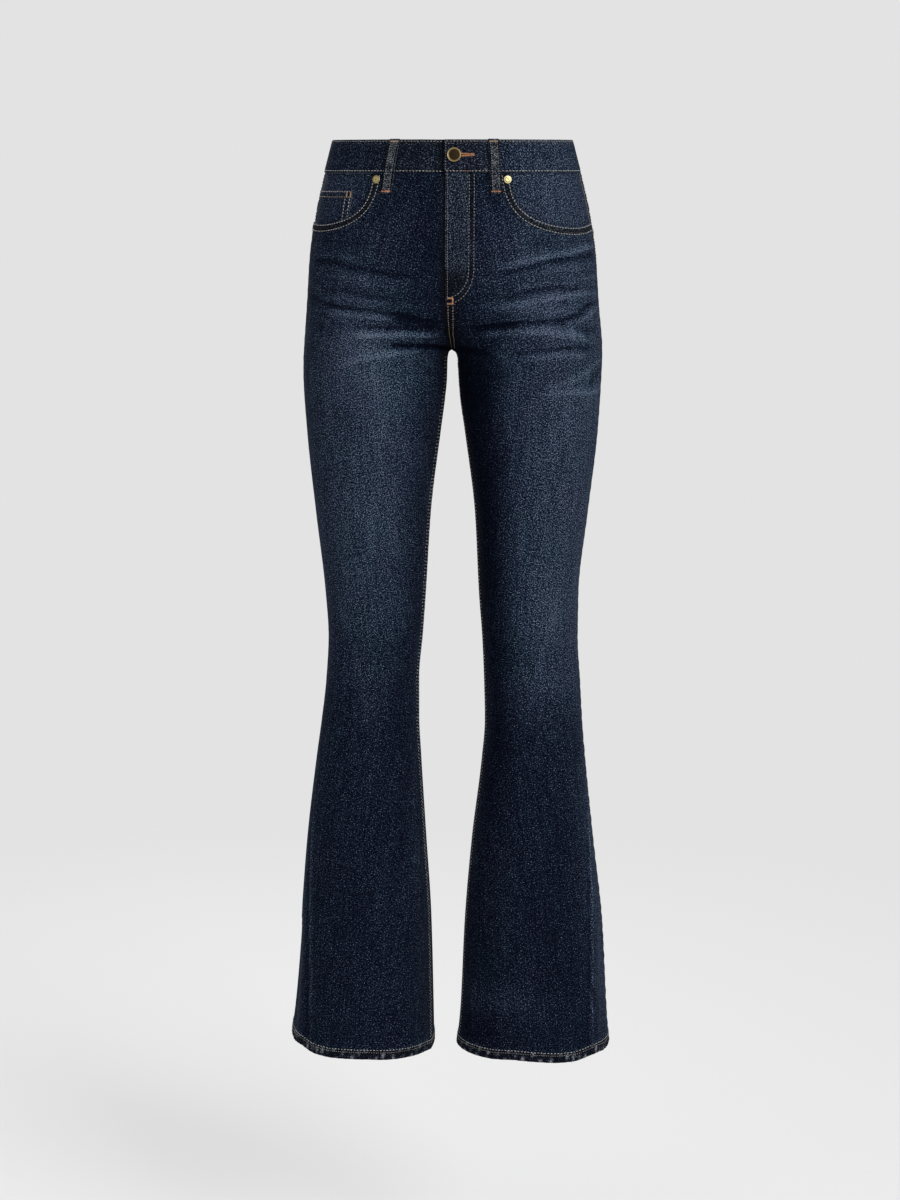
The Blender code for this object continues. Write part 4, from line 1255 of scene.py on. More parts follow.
@dataclass
class RowTree(Wiring):
    """Geometry nodes that set one small shape on each point of a row.

    Attributes:
        grain: The shape that is repeated.
        seed: Fixed seed of the unevenness.
    """

    grain: Grain
    seed: int = 7

    def __post_init__(self) -> None:
        """Build the node group."""
        self.tree = bpy.data.node_groups.new("row_of_" + self.grain.name.lower(), "GeometryNodeTree")
        face = self.tree.interface
        kinds = {"Geometry": "Geometry", "Finish": "Material"}
        for name in ("Geometry", "Length", "Width", "Height", "Unevenness", "Turn", "Finish"):
            face.new_socket(name, in_out="INPUT", socket_type="NodeSocket" + kinds.get(name, "Float"))
        face.new_socket("Geometry", in_out="OUTPUT", socket_type="NodeSocketGeometry")
        given = self.add("NodeGroupInput").outputs
        shape = self.add(self.grain.value)
        if self.grain is Grain.STITCH:
            for name, value in (("Segments", 6), ("Rings", 4), ("Radius", 0.5)):
                shape.inputs[name].default_value = value
        run, rise = (self.add("GeometryNodeInputNamedAttribute", {"Name": name},
                              data_type="FLOAT_VECTOR").outputs[0] for name in ("run", "rise"))
        aim = self.add("FunctionNodeAxesToRotation", {0: run, 1: rise}, primary_axis="X",
                       secondary_axis="Z").outputs[0]
        turn = self._random(given["Turn"], 1)
        euler = self.add("FunctionNodeEulerToRotation", {0: self._combine(0.0, 0.0, turn)}).outputs[0]
        aim = self.add("FunctionNodeRotateRotation", {0: aim, 1: euler}, rotation_space="LOCAL").outputs[0]
        sizes = []
        for index, name in enumerate(("Length", "Width", "Height")):
            change = self.math("ADD", 1.0, self._random(given["Unevenness"], 2 + index))
            sizes.append(self.math("MULTIPLY", given[name], change))
        inputs = {"Points": given["Geometry"], "Instance": shape.outputs[0], "Rotation": aim,
                  "Scale": self._combine(*sizes)}
        placed = self.add("GeometryNodeInstanceOnPoints", inputs).outputs[0]
        solid = self.add("GeometryNodeRealizeInstances", {0: placed}).outputs[0]
        if self.grain is Grain.STITCH:
            solid = self.add("GeometryNodeSetShadeSmooth", {"Geometry": solid}).outputs[0]
        inputs = {"Geometry": solid, "Material": given["Finish"]}
        dressed = self.add("GeometryNodeSetMaterial", inputs).outputs[0]
        self.add("NodeGroupOutput", {0: dressed})

    def _combine(self, x: object, y: object, z: object) -> NodeSocket:
        """Combine three numbers into a vector."""
        return self.add("ShaderNodeCombineXYZ", {0: x, 1: y, 2: z}).outputs[0]

    def _random(self, reach: NodeSocket, offset: int) -> NodeSocket:
        """Random number for each point, from a fixed seed.

        Args:
            reach: Largest value either way.
            offset: Added to the seed.

        Returns:
            The socket.
        """
        low, high = (self.math("MULTIPLY", reach, way) for way in (-1.0, 1.0))
        return self.add("FunctionNodeRandomValue", {2: low, 3: high, "Seed": self.seed + offset},
                        data_type="FLOAT").outputs[1]

    def grow(self, name: str, spots: "Spots", size: Triple, finish: Material,
             uneven: float = 0.12, turn: float = 0.06) -> Object:
        """Set the shape on every spot and make the result a plain mesh.

        Args:
            name: Object name.
            spots: Where the shapes go.
            size: Length, width and height of one shape.
            finish: Its material.
            uneven: Share by which sizes vary.
            turn: Angle by which directions vary, in radians.

        Returns:
            The object with its plain mesh.
        """
        mesh = bpy.data.meshes.new(name + "_spots")
        mesh.from_pydata(spots.points.tolist(), [], [])
        for label, values in (("run", spots.runs), ("rise", spots.rises)):
            place = mesh.attributes.new(label, "FLOAT_VECTOR", "POINT").data
            place.foreach_set("vector", values.ravel().astype(np.float32))
        holder = place_object(name + "_spots", mesh)
        modifier = holder.modifiers.new("row", "NODES")
        modifier.node_group = self.tree
        wanted = {"Length": size[0], "Width": size[1], "Height": size[2], "Unevenness": uneven, "Turn": turn,
                  "Finish": finish}
        for item in self.tree.interface.items_tree:
            if item.in_out == "INPUT" and item.name in wanted:
                modifier[item.identifier] = wanted[item.name]
        bpy.context.view_layer.update()
        plain = bpy.data.meshes.new_from_object(holder.evaluated_get(bpy.context.evaluated_depsgraph_get()))
        plain.name = name
        bpy.data.objects.remove(holder)
        return place_object(name, plain)


@dataclass
class Spots:
    """Places of stitches: their points, directions and outward normals."""

    points: Array = field(default_factory=lambda: np.empty((0, 3)))
    runs: Array = field(default_factory=lambda: np.empty((0, 3)))
    rises: Array = field(default_factory=lambda: np.empty((0, 3)))

    def row(self, points: Array, normals: Array, pitch: float, raised: float = 0.0002,
            crosswise: bool = False, closed_by: float = 0.0) -> None:
        """Add one evenly spaced row along a path.

        Args:
            points: The path.
            normals: Outward normals along it.
            pitch: Distance from one stitch to the next.
            raised: How far the stitches' middles stand off the cloth.
            crosswise: True where each stitch lies across the path, as in a bar tack.
            closed_by: Distance left free at both ends.
        """
        run = np.concatenate(([0.0], np.linalg.norm(np.diff(points, axis=0), axis=1).cumsum()))
        free = run[-1] - 2 * closed_by
        count = max(int(round(free / pitch)), 1)
        at = closed_by + (np.arange(count) + 0.5) * free / count
        step = min(pitch, free) * 0.35

        def on(where: Array, values: Array) -> Array:
            """Values at distances along the path."""
            return np.stack([np.interp(where, run, values[:, k]) for k in range(3)], axis=1)

        rises = on(at, normals)
        rises /= np.linalg.norm(rises, axis=1, keepdims=True)
        runs = on(at + step, points) - on(at - step, points)
        if crosswise:
            runs = np.cross(rises, runs)
        middles = (on(at + step, points) + on(at - step, points)) / 2 + rises * raised
        self.points = np.vstack((self.points, middles))
        self.runs = np.vstack((self.runs, runs))
        self.rises = np.vstack((self.rises, rises))


@dataclass(frozen=True)
class Stitch:
    """One kind of stitch: its thread, its length, width and height, and the pitch."""

    thread: str
    size: Triple
    pitch: float


class Row(Enum):
    """The kinds of sewn rows."""

    TOP = Stitch("cream", (0.0029, 0.00085, 0.00075), 0.0040)
    FLY = Stitch("ecru", (0.0027, 0.00080, 0.00075), 0.0039)
    FINE = Stitch("ecru", (0.0019, 0.00065, 0.00060), 0.0029)
    SEAM = Stitch("pale", (0.0021, 0.00070, 0.00060), 0.0043)
    HEM = Stitch("pale", (0.0026, 0.00085, 0.00080), 0.0041)
    TAN = Stitch("tan", (0.0028, 0.00085, 0.00075), 0.0038)
    COPPER = Stitch("copper", (0.0021, 0.00080, 0.00075), 0.0026)
    TACK = Stitch("copper", (0.0024, 0.00060, 0.00080), 0.00056)
    TAN_TACK = Stitch("tan", (0.0026, 0.00065, 0.00080), 0.00062)


@dataclass
class Sewing:
    """All the rows of thread, gathered by piece and kind."""

    form: Form
    rows: dict[tuple[str, Row], Spots] = field(default_factory=dict)

    def _add(self, row: Row, name: str, points: Array, normals: Array, **options: float) -> None:
        """Add one row to a piece.

        Args:
            row: Kind of row.
            name: Name of the piece.
            points: The path.
            normals: Outward normals along it.
            options: Options of Spots.row.
        """
        options.setdefault("pitch", row.value.pitch)
        options.setdefault("crosswise", row in (Row.TACK, Row.TAN_TACK))
        self.rows.setdefault((name, row), Spots()).row(points, normals, **options)

    def on_skin(self, row: Row, name: str, side: Side, face: Face, drop: Array, along: Array,
                out: Array | float = 0.0, **options: float) -> None:
        """Sew a row along a path on the cloth."""
        points, normals = self.form.skin(side, face, drop, along, out)
        self._add(row, name, points, normals, **options)

    def on_belt(self, row: Row, name: str, angle: Array, drop: Array, out: Array | float,
                **options: float) -> None:
        """Sew a row along a path round the waist."""
        points, normals = self.form.belt(angle, drop, out)
        self._add(row, name, points, normals, **options)

    def sew_hem(self, name: str, side: Side, face: Face) -> None:
        """Sew both rows along one half of a hem.

        Args:
            name: Name of the piece.
            side: Wearer's side.
            face: Front or back.
        """
        drop = np.full(500, FOLD_DROP + 0.0010)
        along = np.linspace(0.001, 0.999, 500) * self.form.length(side, face, drop)
        self.on_skin(Row.HEM, name, side, face, drop, along, raised=0.0004)
        self.on_skin(Row.FINE, name, side, face, drop + 0.0030, along)

    def build(self, threads: dict[str, Material]) -> None:
        """Turn the gathered rows into pieces.

        Args:
            threads: The threads' finishes by name.
        """
        tree = RowTree(Grain.STITCH)
        for (name, row), spots in self.rows.items():
            stitch = row.value
            thing = tree.grow(name + "_" + row.name.lower(), spots, stitch.size, threads[stitch.thread])
            finish_piece(thing)


@dataclass
class Tailor:
    """Cuts pieces of cloth on the form and sews them.

    Attributes:
        form: The shape that the cloth follows.
        sewing: Gathers the rows of thread.
        denim: The cloth's finish.
    """

    form: Form
    sewing: Sewing
    denim: Material

    def cut(self, node: str, side: Side, face: Face, drop: Array, along: Array, outer: Array | float,
            inner: Array | float, held: Held, fields: dict[str, Array | float], slot: str = "indigo_denim",
            start: tuple[float, float] = (0.0, 0.0)) -> None:
        """Cut a piece and lay it in the place of its node.

        Args:
            node: The node it stands for.
            side: Wearer's side.
            face: Front or back.
            drop: Drops of its points, by row and column.
            along: Their distances from the side seam.
            outer: Distances of its outer face from the form.
            inner: Distances of its inner face.
            held: How it is held; not used.
            fields: Named values of the finish.
            slot: Name of its material slot; not used.
            start: Where it is cut from the weave.
        """
        points, normals = self.form.skin(side, face, drop, along, outer)
        inside, _ = self.form.skin(side, face, drop, along, inner)
        weave = np.stack((along + start[0], drop + start[1]), axis=2)
        cloth = Cloth(node + "_denim", points, inside, normals, weave, fields)
        lay_sheet(cloth, node, self.denim)


@dataclass
class Fronts(Tailor):
    """The two front panels, cut out at the pocket mouths and lapped at the fly."""

    # The pocket mouths: width as a share of the cloth's length, depth at the side seam, and rise there.
    mouth_share: dict[Side, float] = field(default_factory=lambda: {R: 0.540, L: 0.620})
    mouth_depth: dict[Side, float] = field(default_factory=lambda: {R: 0.0620, L: 0.0655})
    mouth_rise: dict[Side, float] = field(default_factory=lambda: {R: 0.0032, L: 0.0065})
    mouth_square: float = 3.2  # how square the mouth's curve is
    mouth_bunch: float = 1.5  # how much closer the columns are at its inner end
    mouth_columns: int = 40
    plain_columns: int = 28
    fly_columns: int = 13
    top_rows: int = 32
    row_pitch: float = 0.0027
    fine_pitch: float = 0.0018
    fine_to: float = 0.310
    level: float = 0.125  # drop of the first level row
    # The columns turn even between these two drops, and the right front dips under the lap between
    # these two distances from the centre.
    even_from: float = 0.110
    even_by: float = 0.170
    dip_start: float = 0.025
    dip_end: float = 0.004
    # Drops down the fly, with how far each front reaches past the centre there and how deep it dips.
    fly_drops: tuple[float, ...] = (0.184, 0.188, 0.192, 0.198, CROTCH_DROP, CROTCH_DROP + 0.0004)
    left_edge: tuple[float, ...] = (0.0010, 0.0010, 0.0010, 0.00002, 0.00002, 0.0)
    right_edge: tuple[float, ...] = (0.0080, -0.0013, -0.0013, 0.0, 0.0, 0.0)
    dips: tuple[float, ...] = (0.0019, 0.0019, 0.0, 0.0, 0.0, 0.0)
    facing: float = 0.0315
    # Distances of the fly's two curved rows from the centre, with the drops of their ends.
    fly_rows: tuple[tuple[float, float], ...] = ((0.0268, 0.1836), (0.0327, 0.1907))

    def _reach(self, number: Array) -> Array:
        """How far along the pocket mouth each column is, from 0 to 1."""
        return 1.0 - (1.0 - np.clip(number / self.mouth_columns, 0.0, 1.0)) ** self.mouth_bunch

    def mouth_drop(self, side: Side, reach: Array) -> Array:
        """Drop of the pocket mouth, by how far along its width a point is."""
        fall = (1.0 - np.clip(reach, 0.0, 1.0) ** self.mouth_square) ** (1.0 / self.mouth_square)
        return BAND_HEIGHT + self.mouth_depth[side] * fall - self.mouth_rise[side] * bell(reach, 0.26)

    def mouth_path(self, side: Side, inside: float) -> tuple[Array, Array]:
        """Path that follows the pocket mouth at a distance into the panel.

        Args:
            side: Wearer's side.
            inside: The distance.

        Returns:
            Drops, and distances from the side seam.
        """
        reach = np.sin(np.linspace(0.0, math.pi / 2, 160)) ** 0.8
        drop = self.mouth_drop(side, reach)
        along = reach * self.mouth_share[side] * self.form.length(side, FRONT, drop)
        run_d, run_a = np.gradient(drop), np.gradient(along)
        size = np.hypot(run_d, run_a)
        drop, along = drop + inside * run_a / size, along - inside * run_d / size
        keep = (drop > BAND_HEIGHT + 0.0012) & (along > 0.0008)
        return drop[keep], along[keep]

    def from_mouth(self, side: Side, drop: Array, along: Array) -> Array:
        """Distance of points from the pocket mouth's edge.

        Args:
            side: Wearer's side.
            drop: Drops of the points.
            along: Their distances from the side seam.

        Returns:
            The distances, or a large number far from the mouth.
        """
        edge_drop, edge_along = self.mouth_path(side, 0.0)
        best = np.full(drop.shape, 9.0)
        near = (drop < 0.14) & (along < 0.20)
        gaps = np.hypot(drop[near][:, None] - edge_drop, along[near][:, None] - edge_along)
        best[near] = gaps.min(axis=1)
        return best

    def lift(self, side: Side, drop: Array, along: Array) -> Array:
        """How far the turned mouth, the fly facing and the dip under the lap move the panel.

        Args:
            side: Wearer's side.
            drop: Drops of the points.
            along: Their distances from the side seam.

        Returns:
            Distances outwards.
        """
        gap = self.from_mouth(side, drop, along)
        length = self.form.length(side, FRONT, drop)
        inward = length - along
        lift = 0.0006 * ease((0.0105 - gap) / 0.002) - 0.0005 * ease((0.0009 - gap) / 0.0009)
        if side is R:
            dip = np.interp(drop, self.fly_drops, self.dips)
            lift = lift - dip * ease((self.dip_start - inward) / (self.dip_start - self.dip_end))
        else:
            facing = ease((self.facing - inward) / 0.002)
            facing = facing * (1.0 - ease((drop - 0.160 - 0.7 * inward) / 0.02))
            rounded = ease((0.0003 - inward) / 0.0010) * (drop < 0.190)
            ribs = ease((inward - 0.003) / 0.003) * ease((0.025 - inward) / 0.003) * bell(drop - 0.11, 0.055)
            lift = lift + 0.0004 * facing - 0.0005 * rounded + 0.00030 * ribs * self.rib(inward, drop)
        return lift

    @staticmethod
    def rib(inward: Array, drop: Array) -> Array:
        """Upright ripples in the fly facing, from -1 to 1."""
        return np.sin(inward * math.tau / 0.0046 + 1.2 * np.sin(drop * 55.0) + 0.8 * np.sin(drop * 131.0))

    def columns(self, side: Side, drop: Array) -> Array:
        """Distance from the side seam of every column at drops given by row.

        Args:
            side: Wearer's side.
            drop: Drops, one to a row.

        Returns:
            Distances by row and column.
        """
        length = self.form.length(side, FRONT, drop)
        free = length - self.dip_start
        wide = self.mouth_columns + self.plain_columns
        count = np.arange(wide + 1)
        begin = self.mouth_share[side] * length
        beyond = np.clip((count - self.mouth_columns) / self.plain_columns, 0.0, 1.0)
        shaped = np.where(count <= self.mouth_columns, self._reach(count) * begin,
                          begin + (free - begin) * beyond)
        even = free * (count / wide) ** 1.2
        blend = ease((drop - self.even_from) / (self.even_by - self.even_from))
        first = shaped + (even - shaped) * blend
        edge = np.interp(drop, self.fly_drops, self.left_edge if side is L else self.right_edge)
        last = np.linspace(0.0, 1.0, self.fly_columns)[None, 1:]
        return np.hstack((first, free[:, -1:] + (self.dip_start + edge[:, -1:]) * last))

    def build(self, side: Side) -> None:
        """Build one front panel and its sewing.

        Args:
            side: Wearer's side.
        """
        total = self.mouth_columns + self.plain_columns + self.fly_columns
        tops = self.mouth_drop(side, self._reach(np.arange(total)))
        steps = np.linspace(0.0, 1.0, self.top_rows, endpoint=False)[:, None]
        rows = panel_rows(np.arange(self.level, self.fine_to, self.fine_pitch),
                          np.arange(self.fine_to, HEM_DROP - 0.001, self.row_pitch), self.fly_drops)
        drop = np.vstack((tops + (self.level - tops) * steps, np.repeat(rows[:, None], total, axis=1)))
        along = np.stack([self.columns(side, row[:, None]).diagonal() for row in drop])
        rounded, turned = hem_turning(drop)
        lift = self.lift(side, drop, along) - rounded
        self.cut("front_" + side.word, side, FRONT, drop, along, lift, lift - (DENIM + 0.0010 * turned),
                 Held.HUNG, self._wear_and_shade(side, drop, along, turned))
        self._sew(side)

    def _wear_and_shade(self, side: Side, drop: Array, along: Array, turned: Array) -> dict[str, Array]:
        """Fade, shade and greyness of one front, with painted shade at the crotch, under the lap and inside the
        thigh.

        Args:
            side: Wearer's side.
            drop: Drops of the points.
            along: Their distances from the side seam.
            turned: Where the hem is turned up, from 0 to 1.

        Returns:
            The named values of the finish.
        """
        fade = self.form.lightness(side, FRONT, drop, along)
        inward = self.form.length(side, FRONT, drop) - along
        gap = self.from_mouth(side, drop, along)
        band = ease((gap - 0.0018) / 0.0012) * ease((0.0085 - gap) / 0.0012)
        fade = fade - 0.06 * band + 0.22 * ease((0.0016 - gap) / 0.0010)
        shade = 0.36 * band
        grey = band + 0.9 * turned
        if side is R:
            # Painted shadow of the fly's lap on the right front.
            lapped = bell(np.maximum(inward, 0.0) - 0.001, 0.0055) * ease((0.250 - drop) / 0.02)
            shade = np.maximum(shade, 0.85 * lapped)
        else:
            placket = ease((0.0262 - inward) / 0.0015) * ease((0.168 - drop) / 0.03)
            ribs = bell(drop - 0.11, 0.060) * ease((inward - 0.003) / 0.003)
            fade = fade + (0.23 + 0.13 * ribs * self.rib(inward, drop)) * placket
            fade = fade + 0.16 * ease((0.0012 - inward) / 0.001) * (drop < 0.19)
            between = ease((inward - 0.0270) / 0.001) * ease((0.0322 - inward) / 0.001) * (drop < 0.165)
            shade = np.maximum(shade, 0.50 * between)
            low = ease((0.026 - inward) / 0.004) * bell(drop - 0.166, 0.018)
            shade = np.maximum(shade, 0.30 * low)
            grey = grey + low + 0.40 * placket
        # Painted shade in the crotch, where the legs meet.
        crotch = bell(drop - 0.262, 0.030) * bell(inward, 0.030 if side is L else 0.012)
        shade = np.maximum(shade, (0.70 if side is L else 0.25) * crotch)
        # Painted shade on the left inner thigh, beside the inseam.
        if side is L:
            shade = np.maximum(shade, 0.66 * bell(drop - 0.40, 0.18) * ease((0.042 - inward) / 0.028))
        return {"fade": fade, "shade": shade, "grey": grey}

    def _sew(self, side: Side) -> None:
        """Sew one front's pocket mouth, inseam and hem, and on the left the fly.

        Args:
            side: Wearer's side.
        """
        sewing, form, name = self.sewing, self.form, "stitches_front_" + side.word
        for inside in (0.0016, SECOND_ROW):
            drop, along = self.mouth_path(side, inside)
            sewing.on_skin(Row.TOP, name, side, FRONT, drop, along, self.lift(side, drop, along))
        low = BAND_HEIGHT + self.mouth_depth[side]
        tack = np.linspace(low + 0.0014, low + 0.0086, 14)
        sewing.on_skin(Row.TAN_TACK, name, side, FRONT, tack, 0.0034, 0.0006)
        drop = np.linspace(CROTCH_DROP + 0.006, FOLD_DROP - 0.001, 900)
        inward = form.inseam_row(side, drop)
        sewing.on_skin(Row.SEAM, name, side, FRONT, drop, form.length(side, FRONT, drop) - inward)
        inward = inward - 0.0065
        near = inward > 0.0004
        along = form.length(side, FRONT, drop[near]) - inward[near]
        sewing.on_skin(Row.SEAM, name, side, FRONT, drop[near], along)
        if not near.all():
            rest = drop[~near]
            away = np.minimum(inward[~near], -0.0004)
            sewing.on_skin(Row.SEAM, name, side, BACK, rest, form.length(side, BACK, rest) + away)
        sewing.sew_hem(name, side, FRONT)
        if side is L:
            self._sew_fly()

    def _sew_fly(self) -> None:
        """Sew the fly, its bar tacks and the rise below it."""
        sewing, form = self.sewing, self.form

        def sew(row: Row, drop: Array, away: Array) -> None:
            """Sew a row at distances from the centre seam."""
            along = form.length(L, FRONT, drop) - away
            sewing.on_skin(row, "stitches_fly", L, FRONT, drop, along, self.lift(L, drop, along))

        turn = np.linspace(0.0, math.pi / 2 - 0.06, 60)
        for reach, low in self.fly_rows:
            bend = low - reach * 1.25
            straight = np.linspace(BAND_HEIGHT + 0.001, bend, 120)
            sew(Row.FLY, np.concatenate((straight, bend + reach * 1.25 * np.sin(turn))),
                np.concatenate((np.full(120, reach), reach * np.cos(turn))))
        sew(Row.FINE, np.linspace(BAND_HEIGHT + 0.001, 0.186, 160), np.full(160, 0.0016))
        spread = np.linspace(0.0, 1.0, 60) ** 5
        sew(Row.TAN, np.linspace(0.192, CROTCH_DROP - 0.003, 60), 0.0022 + 0.0030 * spread)
        sew(Row.TAN, np.linspace(0.193, CROTCH_DROP - 0.003, 60), 0.0080 + 0.0170 * spread)
        for drop_at in (0.1840, 0.1905):
            sew(Row.TACK, np.full(12, drop_at), np.linspace(0.0010, 0.0085, 12))
        sew(Row.TACK, np.linspace(0.1836, 0.1912, 12), np.full(12, 0.0078))


@dataclass
class Backs(Tailor):
    """Back panels, yokes and patch pockets."""

    columns: int = 62
    row_pitch: float = 0.0030
    level: float = 0.135
    yoke_side: float = 0.083
    yoke_centre: float = 0.112
    pocket_along: tuple[float, float] = (0.052, 0.190)  # its edges, as distances from the side seam
    pocket_top: float = 0.126
    pocket_side: float = 0.120
    pocket_point: float = 0.141
    pocket_narrowing: float = 0.05
    pocket_proud: float = 0.0009
    pocket_wall: float = 0.0015

    def yoke_drop(self, share: Array) -> Array:
        """Drop of the yoke's lower seam."""
        return self.yoke_side + (self.yoke_centre - self.yoke_side) * share

    def _spread(self) -> Array:
        """Shares of the columns, closer together at the seams."""
        t = np.linspace(0.0, 1.0, self.columns)
        return 0.62 * t + 0.38 * (0.5 - 0.5 * np.cos(math.pi * t))

    def _alongs(self, side: Side, drop: Array, share: Array) -> Array:
        """Distances along. The left side just crosses the centre seam, so that no light comes through."""
        across = 0.00002 * (drop <= CROTCH_DROP) if side is L else 0.0
        return share * (self.form.length(side, BACK, drop) + across)

    def build(self, side: Side) -> None:
        """Build one side of the back.

        Args:
            side: Wearer's side.
        """
        share = self._spread()
        tops = self.yoke_drop(share)
        steps = np.linspace(0.0, 1.0, 14, endpoint=False)[:, None]
        rows = panel_rows(np.arange(self.level, HEM_DROP - 0.001, self.row_pitch))
        level = np.repeat(rows[:, None], self.columns, axis=1)
        drop = np.vstack((tops + (self.level - tops) * steps, level))
        along = self._alongs(side, drop, share)
        rounded, turned = hem_turning(drop)
        lift = -rounded - 0.0004 * bell(drop - tops, 0.0012)
        fade = self.form.lightness(side, BACK, drop, along)
        fade = fade + 0.10 * bell(self._pocket_inset(drop, along) + 0.002, 0.003)
        # Painted shade in the crotch, where the legs meet.
        shade = 0.5 * bell(drop - 0.262, 0.026) * bell(self.form.length(side, BACK, drop) - along, 0.022)
        self.cut("back_" + side.word, side, BACK, drop, along, lift, lift - (DENIM + 0.0010 * turned),
                 Held.HUNG, {"fade": fade, "shade": shade, "grey": 0.9 * turned})
        self._yoke(side, share)
        self._pocket(side)
        self._sew(side)

    def _yoke(self, side: Side, share: Array) -> None:
        """Build the yoke.

        Args:
            side: Wearer's side.
            share: Shares of the columns.
        """
        low = self.yoke_drop(share)
        drop = BAND_HEIGHT + (low - BAND_HEIGHT) * np.linspace(0.0, 1.0, 26)[:, None]
        along = self._alongs(side, drop, share)
        gap = low - drop
        lift = 0.0005 * ease((0.0105 - gap) / 0.002) - 0.0003 * bell(gap, 0.0009)
        fade = 0.26 + 0.12 * bell(along / self.form.length(side, BACK, drop) - 0.5, 0.35)
        fade = fade + 0.14 * np.maximum(self.form.pucker(along, 0.011), 0.0) * bell(gap - 0.004, 0.004)
        self.cut("yoke_" + side.word, side, BACK, drop, along, lift, -DENIM, Held.STRETCHED, {"fade": fade})
        path = np.linspace(0.004, 0.996, 160)
        for up in (0.0022, SECOND_ROW):
            at = self.yoke_drop(path) - up
            over = path * self.form.length(side, BACK, at)
            self.sewing.on_skin(Row.TOP, "stitches_back", side, BACK, at, over, 0.0005)

    def pocket_spot(self, across: Array, down: Array) -> tuple[Array, Array]:
        """A place on the patch pocket.

        Args:
            across: Place across it, from 0 to 1.
            down: Place down it, from 0 to 1.

        Returns:
            Drop, and distance from the side seam.
        """
        low, high = self.pocket_along
        along = (low + high) / 2 + (high - low) * (across - 0.5) * (1.0 - self.pocket_narrowing * down)
        length = self.pocket_side + (self.pocket_point - self.pocket_side) * (1.0 - np.abs(2 * across - 1.0))
        return self.pocket_top + length * down, along

    def _pocket_inset(self, drop: Array, along: Array) -> Array:
        """Distance inside the patch pocket's outline, negative outside.

        Args:
            drop: Drops of the points.
            along: Their distances from the side seam.

        Returns:
            The distances.
        """
        low, high = self.pocket_along
        point = self.pocket_side + (self.pocket_point - self.pocket_side) * (
            1.0 - np.abs(2 * (along - low) / (high - low) - 1.0))
        return np.minimum(np.minimum(along - low, high - along),
                          np.minimum(drop - self.pocket_top, self.pocket_top + point - drop))

    def _pocket(self, side: Side) -> None:
        """Build the patch pocket and sew it on.

        Args:
            side: Wearer's side.
        """
        steps = np.concatenate(([0.0, 0.006], np.linspace(0.02, 0.98, 47), [0.994, 1.0]))
        down, across = mesh_grid(steps, steps)
        drop, along = self.pocket_spot(across, down)
        wide, long = self.pocket_along[1] - self.pocket_along[0], self.pocket_point
        inset = np.minimum(np.minimum(across, 1.0 - across) * wide, np.minimum(down, 1.0 - down) * long)
        proud = self.pocket_proud + self.pocket_wall
        lift = proud + 0.0005 * ease((0.0105 - inset) / 0.002) - 0.0006 * ease((0.0009 - inset) / 0.0009)
        lift = lift + 0.0006 * bell(down - 0.55, 0.3) * bell(across - 0.5, 0.3)
        ripple = np.maximum(self.form.pucker(drop + along, 0.011), 0.0)
        fade = 0.42 + 0.16 * bell(down - 0.5, 0.4) * bell(across - 0.5, 0.4)
        fade = fade + 0.16 * ripple * bell(inset - 0.005, 0.0045)
        fade = fade + 0.24 * ease((0.0014 - inset) / 0.001)
        self.cut("back_pocket_" + side.word, side, BACK, drop, along, lift, self.pocket_proud - 0.0003,
                 Held.STRETCHED, {"fade": fade}, start=(0.31, 0.17))

        def sew(row: Row, name: str, over: Array | float, low: Array | float, out: float) -> None:
            """Sew a row between places on the pocket."""
            at, beside = self.pocket_spot(over, low)
            self.sewing.on_skin(row, name, side, BACK, at, beside, out)

        t = np.linspace(0.0, 1.0, 60)
        for inset_by in (0.0020, SECOND_ROW):
            a, d = inset_by / wide, inset_by / long
            outline = ((a, 0.0), (a, 1.0 - d), (0.5, 1.0 - d * 1.1), (1.0 - a, 1.0 - d), (1.0 - a, 0.0))
            for (a0, d0), (a1, d1) in zip(outline[:-1], outline[1:]):
                sew(Row.TOP, "stitches_back_pockets", a0 + (a1 - a0) * t, d0 + (d1 - d0) * t, proud + 0.0005)
        for down_by in (0.0105, 0.0135):
            sew(Row.TOP, "stitches_back_pockets", np.linspace(0.01, 0.99, 80), down_by / long, proud)
        for across_by in (0.035, 0.965):
            sew(Row.TACK, "stitches_back", across_by, np.linspace(0.008, 0.085, 16), proud + 0.0005)

    def _sew(self, side: Side) -> None:
        """Sew the hem and the side seam's top, and on the left the centre seam.

        Args:
            side: Wearer's side.
        """
        self.sewing.sew_hem("stitches_back", side, BACK)
        drop = np.linspace(BAND_HEIGHT + 0.002, 0.150, 160)
        self.sewing.on_skin(Row.TAN, "stitches_back", side, BACK, drop, 0.0026)
        if side is R:
            return
        drop = np.linspace(BAND_HEIGHT + 0.002, CROTCH_DROP - 0.003, 260)
        for away in (0.0022, SECOND_ROW):
            along = self.form.length(L, BACK, drop) - away
            self.sewing.on_skin(Row.TOP, "stitches_back", L, BACK, drop, along, 0.0)


